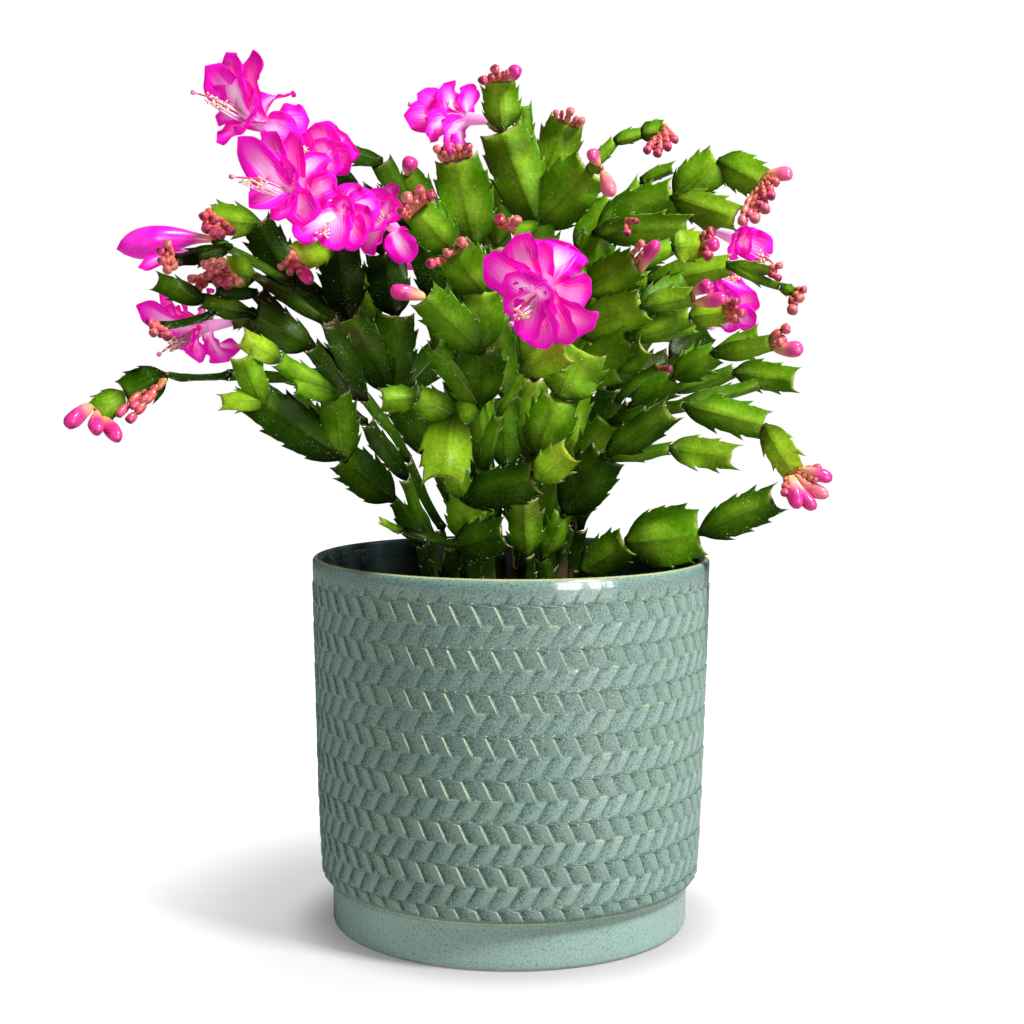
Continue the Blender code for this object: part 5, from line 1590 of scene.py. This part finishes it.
def leaf_tints(net, where, green, youth_and_painted_light, row, patch):
    """The green with young brown tips, and with dull red clouds on some old segments."""
    brown = net.times(
        net.step(youth_and_painted_light, 0.6, 1.0), net.step(row, 0.45, 1.0), net.step(patch, 0.35, 0.65, 0.1, 0.75),
    )
    blush = net.times(net.step(youth_and_painted_light, 0.14, 0.02), net.step(patch, 0.42, 0.62), 0.12)
    cloud = net.times(
        net.patches(where, 42.0, 2.0, 0.56, 0.70), net.step(row, 0.35, 0.85), net.step(youth_and_painted_light, 0.75, 0.5), 0.6,
    )
    return net.layered(green, (brown, TIP_BROWN), (net.math("MAXIMUM", blush, cloud), BLUSH_BROWN))


def leaf_marks(net, where, specks, off, row):
    """The small marks on a segment: its pale specks and flakes, its worn edge and its dry end."""
    dots = net.times(
        net.group(specks, Scale=1700.0, Size=0.24, Share=0.45),
        net.patches(where, 130.0, 3.0, 0.46, 0.66, 0.04, 0.6),
    )
    flakes = net.times(
        net.group(specks, Scale=700.0, Size=0.22, Share=0.30),
        net.patches(where, 1100.0, 2.0, 0.42, 0.56, 0.0, 0.75),
        net.patches(where, 55.0, 2.0, 0.50, 0.66, 0.08, 1.0),
    )
    worn = net.times(net.step(off, 0.955, 0.995), net.patches(where, 240.0, 3.0, 0.46, 0.62), 0.7)
    dry = net.times(net.step(row, 0.94, 0.975), net.patches(where, 500.0, 2.0, 0.42, 0.6), 0.8)
    return (net.math("MAXIMUM", dots, flakes), SPECK_WHITE), (worn, WORN_EDGE), (dry, DRY_TAN)


def stem_skin(mottle, specks):
    """The waxy green skin of the segments, with painted light and shade, pale specks, brown tips and woolly
    dots.
    """
    made, net, shader = new_material(
        "stem_skin", Specular_IOR_Level=0.05, Specular_Tint=(0.50, 0.85, 0.20), Coat_Weight=0.02,
        Coat_Roughness=0.16,
    )
    youth_and_painted_light, off, row, kind = net.painted()
    where = net.place()
    patch = net.noise(where, 90.0, 3.0)
    green = leaf_green(net, youth_and_painted_light, off, row, patch)
    green = leaf_tints(net, where, green, youth_and_painted_light, row, patch)
    green = net.group(mottle, Colour=green, Scale=60.0, Amount=0.62)
    green = net.group(mottle, Colour=green, Scale=700.0, Amount=0.45)
    wood = net.between(kind, 0.2, 0.45, 0.6, 0.9)
    wool = net.step(kind, 0.8, 0.95)
    shade = net.layered(
        green, *leaf_marks(net, where, specks, off, row), (wood, WOOD_BROWN),
        (wool, net.mix(off, WOOL_CREAM, BRISTLE_TAN)),
    )
    net.feed(shader.inputs["Base Color"], shade)
    rough = net.patches(where, 300.0, 3.0, 0.3, 0.7, 0.27, 0.40)
    net.feed(shader.inputs["Roughness"], net.math("MAXIMUM", rough, net.times(wool, 0.9)))
    bumped(net, shader, net.noise(where, 900.0, 3.0, 0.6), 0.00022, 0.7)
    return made


def petal_skin(mottle):
    """The satin petals: magenta at the edge, streaked with white down the middle, and glowing a little in
    their own colour as painted light.
    """
    made, net, shader = new_material(
        "petal_skin", Specular_IOR_Level=0.25, Specular_Tint=(1.0, 0.12, 0.80), Subsurface_Weight=0.10,
        Subsurface_Scale=0.0015, Emission_Strength=0.29,
    )
    row, off, chance = net.painted()[:3]
    stretch = net.node("ShaderNodeCombineXYZ")
    for socket, value, size in zip(stretch.inputs, (off, row, chance), (12.0, 1.3, 40.0)):
        net.feed(socket, net.times(value, size))
    streak = net.noise(stretch.outputs[0], 1.6, 4.0, 0.65)
    reach = net.math("ADD", off, net.times(net.math("SUBTRACT", streak, 0.5), 1.6))
    centre = net.times(
        net.step(reach, 0.58, 0.10), net.step(row, 0.95, 0.42), net.step(chance, 0.0, 1.0, 0.55, 1.0),
    )
    throat = net.step(net.math("ADD", row, net.times(off, 0.25)), 0.42, 0.12)
    shade = net.layered(
        net.mix(net.step(off, 0.45, 1.0), PETAL_MAGENTA, PETAL_EDGE),
        (net.step(streak, 0.62, 0.35, 0.0, 0.45), PETAL_PINK),
        (net.math("MAXIMUM", centre, throat), PETAL_WHITE),
    )
    shade = net.group(mottle, Colour=shade, Scale=300.0, Amount=0.12)
    net.feed(shader.inputs["Base Color"], shade)
    # The petals glow in their own colour: painted light, which lifts their shaded parts
    net.feed(shader.inputs["Emission Color"], shade)
    net.feed(shader.inputs["Roughness"], net.step(streak, 0.3, 0.7, 0.36, 0.52))
    bumped(net, shader, streak, 0.0004, 0.5)
    return made


def bud_skin(mottle, specks):
    """The waxy buds: yellow where they grow, then coral, and pink at the tip; the great one glows a little in
    its own magenta as painted light.
    """
    made, net, shader = new_material(
        "bud_skin", Specular_IOR_Level=0.25, Specular_Tint=(1.0, 0.60, 0.50), Coat_Weight=0.45,
        Coat_Roughness=0.20, Emission_Strength=0.22,
    )
    row, kind, chance, beaded = net.painted()
    where = net.place()
    small = net.layered(
        net.mix(net.step(row, 0.0, 0.30), BUD_BASE, BUD_CORAL),
        (net.step(row, 0.50, 1.0, 0.0, 0.62), BUD_PINK),
        (net.step(beaded, 0.95, 0.10, 0.0, 0.9), BUD_SEAM),
        (net.step(row, 0.10, 0.0, 0.0, 0.7), BUD_SEAM),
    )
    large = net.mix(net.step(row, 0.0, 0.28), BUD_YELLOW, BUD_PALE)
    large = net.mix(net.step(row, 0.24, 0.62), large, BUD_PINK)
    great = net.mix(net.patches(where, 90.0, 2.0, 0.35, 0.65), PETAL_MAGENTA, PETAL_PINK)
    great = net.mix(net.step(row, 0.30, 0.05), great, BUD_PALE)
    opening = net.step(kind, 1.3, 1.7)
    # Only the great bud glows, in its own magenta: painted light that lifts its shaded underside
    net.feed(shader.inputs["Emission Color"], net.mix(opening, NO_GLOW, great))
    pale = net.times(net.step(chance, 0.3, 1.0, 0.0, 0.45), net.step(kind, 1.5, 1.0))
    shade = net.layered(small, (net.step(kind, 0.4, 0.7), large), (opening, great), (pale, BUD_PALE))
    shade = net.group(mottle, Colour=shade, Scale=350.0, Amount=0.45)
    dots = net.group(specks, Scale=1300.0, Size=0.3, Share=0.4)
    dots = net.times(dots, net.step(kind, 1.5, 1.2, 0.0, 0.25))
    net.feed(shader.inputs["Base Color"], net.mix(dots, shade, SPECK_WHITE))
    net.feed(shader.inputs["Roughness"], net.patches(where, 300.0, 2.0, 0.3, 0.7, 0.30, 0.45))
    bumped(net, shader, net.noise(where, 900.0, 2.0), 0.0001, 0.5)
    return made


def stamen_skin(mottle):
    """The threads, pale pink; the anthers, pale yellow; the style and stigma, magenta."""
    made, net, shader = new_material("stamen_skin", Subsurface_Weight=0.1, Subsurface_Scale=0.001)
    kind, chance = net.painted()[:2]
    thread = net.mix(chance, THREAD_WHITE, THREAD_PINK)
    pollen = net.mix(chance, POLLEN_YELLOW, POLLEN_PEACH)
    style = net.mix(net.step(chance, 0.5, 0.8), STYLE_PINK, STIGMA_PINK)
    shade = net.layered(thread, (net.step(kind, 0.2, 0.4), pollen), (net.step(kind, 0.7, 0.9), style))
    net.feed(shader.inputs["Base Color"], net.group(mottle, Colour=shade, Scale=600.0, Amount=0.15))
    net.feed(shader.inputs["Roughness"], net.step(kind, 0.3, 0.6, 0.45, 0.65))
    return made


def soil_grain(mottle, specks):
    """Damp dark potting soil with a few pale bits."""
    made, net, shader = new_material("soil_grain", Specular_IOR_Level=0.3)
    grain = net.painted()[0]
    where = net.place()
    shade = net.mix(net.step(grain, 0.1, 0.8), SOIL_DARK, SOIL_BROWN)
    shade = net.mix(net.step(grain, 0.85, 0.97), shade, SOIL_CHIP)
    shade = net.group(mottle, Colour=shade, Scale=500.0, Amount=0.6)
    dots = net.group(specks, Scale=420.0, Size=0.28, Share=0.15)
    net.feed(shader.inputs["Base Color"], net.mix(net.times(dots, 0.6), shade, SOIL_CHIP))
    net.feed(shader.inputs["Roughness"], net.patches(where, 800.0, 2.0, 0.3, 0.7, 0.7, 0.95))
    bumped(net, shader, net.noise(where, 900.0, 4.0, 0.7), 0.0008)
    return made


def glaze_places(net):
    """Where a point of the pot lies: how high, how far round, where in its cell of the relief, and how much
    painted shade and light its relief gets towards the sides.
    """
    within = net.painted()[0]
    where = net.place()
    axes = net.node("ShaderNodeSeparateXYZ")
    net.feed(axes.inputs[0], where)
    x, y, z = axes.outputs
    height = net.times(z, 1000.0)
    degrees = net.times(net.math("ARCTAN2", y, x), math.degrees(1.0))
    rows = net.math("DIVIDE", net.math("SUBTRACT", FIRST_ROW, height), ROW_HEIGHT)
    row = net.math("FLOOR", rows)
    down = net.math("SUBTRACT", rows, row)
    pair = net.math("FLOOR", net.times(row, 0.5))
    odd = net.math("SUBTRACT", row, net.times(pair, 2.0))
    lean = net.math("MULTIPLY_ADD", odd, FRONT_LEAN - BACK_LEAN, BACK_LEAN)
    slip = net.math("MULTIPLY_ADD", pair, PAIR_SLIP, net.math("MULTIPLY_ADD", odd, ODD_SLIP, FIRST_SLIP))
    turned = net.math("DIVIDE", net.math("SUBTRACT", degrees, slip), CELL_DEGREES)
    cell = net.math("FRACT", net.math("SUBTRACT", turned, net.times(lean, down)))
    wobble = net.noise(where, 260.0, 2.0)
    wobbly = net.math("ADD", cell, net.math("MULTIPLY_ADD", wobble, 0.03, -0.03))
    # How far a point lies round from the front towards the pot's sides, where the relief gets painted shade
    # in its troughs and painted light on its ridges
    sides = net.step(net.math("ABSOLUTE", net.math("ADD", degrees, 90.0)), 22.0, 58.0)
    return SimpleNamespace(
        where=where, height=height, degrees=degrees, down=down, cell=cell, wobble=wobble, within=within,
        even=net.math("SUBTRACT", 1.0, odd),
        from_edge=net.math("PINGPONG", wobbly, 0.5),
        inside=net.times(net.between(height, 19.2, 20.0, 131.6, 134.0), net.step(within, 0.9, 0.1)),
        low_and_side_shading=net.math("MAXIMUM", net.step(height, 100.0, 50.0), sides),
        plain=net.math("MAXIMUM", net.step(height, 19.0, 17.0), net.step(height, 131.0, 134.0)),
        bare=net.step(height, 0.9, 0.4),
    )


def broken_glaze(net, at):
    """Where the glaze breaks pale: at feet of cells and ledges, faintly at crests, and in strokes, which give
    way to the faint lines on the pot's left as painted shade.
    """
    ledge = net.step(net.math("PINGPONG", at.down, 0.5), 0.05, 0.015)
    foot = net.times(net.step(at.down, 0.90, 0.96), net.between(at.cell, 0.06, 0.12, 0.36, 0.50), at.even)
    bits = net.times(
        net.math("ADD", foot, net.times(ledge, at.inside, 0.4)), at.inside,
        net.patches(at.where, 230.0, 1.0, 0.53, 0.59),
    )
    line = net.times(
        net.step(at.from_edge, 0.024, 0.008), net.between(at.down, 0.0, 0.05, 0.70, 0.92),
        net.patches(at.where, 140.0, 2.0, 0.30, 0.52, 0.35, 1.0), at.inside,
    )
    # The strokes fade to faint lines towards the pot's left, away from the lamps: painted shade
    strokes = net.times(
        line, at.even, net.step(at.degrees, -150.0, -124.0), net.step(at.height, 25.0, 80.0, 0.45, 1.0),
    )
    faint = net.math("SUBTRACT", line, strokes)
    return (
        (net.times(bits, 0.36), BREAK_CREAM),
        (net.times(faint, 0.55 * 0.6), BREAK_GREEN),
        (net.times(strokes, 0.64), BREAK_CREAM),
    )


def pooled_glaze(net, at, trough):
    """Where the glaze pools dark, in heads, troughs and under the rim, and where it thins to pale; towards
    the sides the troughs get painted shade and the ridges painted light.
    """
    head = net.times(
        net.step(at.down, 0.15, 0.05), net.between(at.cell, 0.60, 0.74, 0.95, 0.985), at.inside,
        net.patches(at.where, 190.0, 1.0, 0.42, 0.55), 0.75,
    )
    tick = net.times(
        net.between(at.height, 131.0, 131.8, 134.0, 135.2), net.step(at.from_edge, 0.12, 0.06),
        net.patches(at.where, 210.0, 1.0, 0.38, 0.48), 0.9,
    )
    # Darker troughs lower down, where the relief is deeper, and towards the sides as painted shade
    pool_and_side_shade = net.math("MULTIPLY_ADD", at.low_and_side_shading, 0.18, 0.36)
    # Paler ridges lower down and towards the sides, there as painted light
    high = net.math("MULTIPLY_ADD", at.low_and_side_shading, 0.24, 0.18)
    return (
        (head, GLAZE_DEEP),
        (tick, GLAZE_POOL),
        (net.step(at.height, 131.0, 134.0, 0.0, 0.15), GLAZE_PALE),
        (net.times(trough, pool_and_side_shade), GLAZE_POOL),
        (net.times(net.step(at.cell, 0.45, 0.75), high, at.inside), GLAZE_PALE),
    )


def speckled_glaze(net, at, trough, mottle, specks):
    """The glaze's ground colour, greyer or greener in clouds, with its flecks and dots."""
    shade = net.mix(net.patches(at.where, 22.0, 2.0, 0.3, 0.7), GLAZE_GREY, GLAZE_GREEN)
    shade = net.group(mottle, Colour=shade, Scale=60.0, Amount=0.10)
    teal = net.times(net.step(at.height, 133.0, 138.5), net.patches(at.where, 35.0, 2.0, 0.3, 0.6, 0.2, 0.7))
    fleck = net.math("ADD", net.noise(at.where, 1800.0, 2.0, 0.6), net.times(trough, 0.10))
    most = net.step(at.height, 17.0, 19.0, 0.45, 0.85)
    return net.layered(
        shade,
        (teal, GLAZE_TEAL),
        # The foot paler: partly the smooth glaze's own tone, partly painted light against the shade under the
        # body
        (net.step(at.height, 19.0, 17.0, 0.0, 0.60), GLAZE_FOOT),
        (net.step(fleck, 0.50, 0.60, 0.0, most), GLAZE_FLECK),
        (net.patches(at.where, 2300.0, 1.0, 0.52, 0.62, 0.0, 0.62), GLAZE_PALE),
        (net.times(net.group(specks, Scale=520.0, Size=0.24, Share=0.5), 0.45), GLAZE_DARK),
    )


def glaze_edges(net, at):
    """The pot's plain edges: its pale lip and shoulder, its bare foot, and its inside, painted nearly black
    as shade.
    """
    shoulder = net.times(
        net.between(at.height, 16.8, 17.4, 17.8, 18.4), net.step(at.wobble, 0.35, 0.55, 0.2, 0.9),
    )
    return (
        (net.step(at.height, 139.4, 139.75, 0.0, 0.75), BREAK_CREAM),
        (net.times(net.between(at.height, 133.2, 136.4, 136.6, 138.6), 0.10), GLAZE_DARK),
        (shoulder, BREAK_CREAM),
        (at.bare, BARE_CLAY),
        # The inside painted nearly black as shade
        (net.step(at.within, 0.4, 0.9, 0.0, 0.93), GLAZE_INSIDE_SHADE),
    )


def glaze(mottle, specks):
    """Speckled celadon glaze that breaks pale on the edges of the relief and pools dark below."""
    made, net, shader = new_material("glaze", Coat_Roughness=0.08, Specular_IOR_Level=0.32)
    at = glaze_places(net)
    trough = net.times(
        net.between(at.cell, 0.0, 0.05, 0.12, 0.40), at.inside, net.step(at.wobble, 0.3, 0.6, 0.4, 1.0),
        net.patches(at.where, 1400.0, 2.0, 0.42, 0.56, 0.30, 1.0),
    )
    shade = net.layered(
        speckled_glaze(net, at, trough, mottle, specks), *pooled_glaze(net, at, trough),
        *broken_glaze(net, at), *glaze_edges(net, at),
    )
    net.feed(shader.inputs["Base Color"], shade)
    glint = net.times(
        net.step(at.down, 0.16, 0.06), net.step(at.cell, 0.80, 0.90),
        net.step(at.height, 100.0, 108.0, 0.0, 0.8),
    )
    coat = net.math("MAXIMUM", net.math("MULTIPLY_ADD", at.plain, 0.80, 0.04), glint)
    net.feed(shader.inputs["Coat Weight"], coat)
    rough = net.patches(at.where, 900.0, 2.0, 0.3, 0.7, 0.20, 0.32)
    rough = net.math("ADD", rough, net.step(at.plain, 0.0, 1.0, 0.28, 0.0))
    net.feed(shader.inputs["Roughness"], net.math("MAXIMUM", rough, net.times(at.bare, 0.8)))
    bumped(net, shader, net.noise(at.where, 1200.0, 2.0), 0.00006, 0.5)
    return made


def eye_sees(net):
    """1 for what the camera sees itself and 0 for what only lights or is mirrored."""
    return net.node("ShaderNodeLightPath").outputs["Is Camera Ray"]


def table_top():
    """The plain pale table, which glows a little by itself, least by the pot's foot as a painted shadow, and
    rises to white away from the pot, painting over the shadows there.
    """
    made, net, shader = new_material(
        "table_white", Specular_IOR_Level=0.1, Emission_Color=(1.0, 1.0, 1.0), Roughness=TABLE_ROUGHNESS,
    )
    where = net.place()
    away = net.node("ShaderNodeVectorMath", operation="LENGTH")
    net.feed(away.inputs[0], where)
    away = away.outputs["Value"]
    near = net.step(away, CONTACT_RADIUS, NEAR_RADIUS, CONTACT_GLOW, CONTACT_GLOW + NEAR_GLOW)
    far = net.step(away, FAR_START, FAR_RADIUS, 0.0, FAR_GLOW)
    net.feed(shader.inputs["Emission Strength"], net.times(eye_sees(net), net.math("ADD", near, far)))
    net.feed(shader.inputs["Base Color"], net.mix(net.noise(where, 3.0), TABLE_GREY, TABLE_LIGHT_GREY))
    return made


def set_table(finish):
    """The table that the pot stands on."""
    table = bpy.data.meshes.new("table")
    corners = [(x * TABLE_REACH, y * TABLE_REACH, 0) for x, y in ((-1, -1), (1, -1), (1, 1), (-1, 1))]
    table.from_pydata(corners, (), ((0, 1, 2, 3),))
    table.materials.append(finish)
    floor = bpy.data.objects.new("table", table)
    bpy.context.scene.collection.objects.link(floor)


def set_room_light():
    """The room, which is white to the eye and gives only a little light from all round."""
    world = bpy.data.worlds.new("room")
    world.use_nodes = True
    net = Network(world.node_tree)
    back = world.node_tree.nodes["Background"]
    net.feed(back.inputs["Color"], (1, 1, 1))
    net.feed(back.inputs["Strength"], net.math("MULTIPLY_ADD", eye_sees(net), 1.0 - ROOM_LIGHT, ROOM_LIGHT))
    bpy.context.scene.world = world


def set_lamps():
    """The window at the right, the walls that give some light back and the window's panes."""
    for name, place, aim, size, power in LAMPS:
        light = bpy.data.lights.new(name, "AREA")
        light.shape = "RECTANGLE"
        light.size, light.size_y = size
        light.energy = power
        lamp = bpy.data.objects.new(name, light)
        bpy.context.scene.collection.objects.link(lamp)
        lamp.location = place
        lamp.rotation_euler = (Vector(aim) - Vector(place)).to_track_quat("-Z", "Y").to_euler()
        lamp.visible_glossy = not name.startswith("wall")
        lamp.visible_diffuse = not name.startswith("pane")


def set_camera():
    """The camera, straight in front of the pot and a little above it, looking slightly down."""
    camera = bpy.data.cameras.new("camera")
    camera.lens = CAMERA_LENS
    camera.sensor_width = CAMERA_SENSOR
    eye = bpy.data.objects.new("camera", camera)
    bpy.context.scene.collection.objects.link(eye)
    eye.location = Vector((CAMERA_ACROSS, -EYE_DISTANCE, EYE_HEIGHT)) * MM
    level = Euler((math.radians(90) + CAMERA_PITCH, 0, 0)).to_matrix()
    eye.rotation_euler = (level @ Matrix.Rotation(CAMERA_ROLL, 3, "Z")).to_euler()
    bpy.context.scene.camera = eye
    bpy.context.scene.view_settings.view_transform = "Standard"


def build():
    """Make every piece that the scene shows in place of the plain solids."""
    mottle, specks = mottle_group(), specks_group()
    green = stem_skin(mottle, specks)
    petals = petal_skin(mottle)
    buds = bud_skin(mottle, specks)
    stamens = stamen_skin(mottle)
    add_pot(glaze(mottle, specks))
    add_soil(soil_grain(mottle, specks))
    for name, branches in STEMS.items():
        add_stem(name, branches, green, buds)
    for name, bloom in BLOOMS.items():
        add_bloom(name, *bloom, petals, stamens)
    for name, (bearer, tips) in BUD_FANS.items():
        shape = Shape()
        add_bud_fan(shape, bearer, tips, FAN_SUNK, random.Random(name))
        shape.made(name + "_looks", buds, "bud_coral", name)
    add_loose_petal(petals)


build()
set_table(table_top())
set_room_light()
set_lamps()
set_camera()
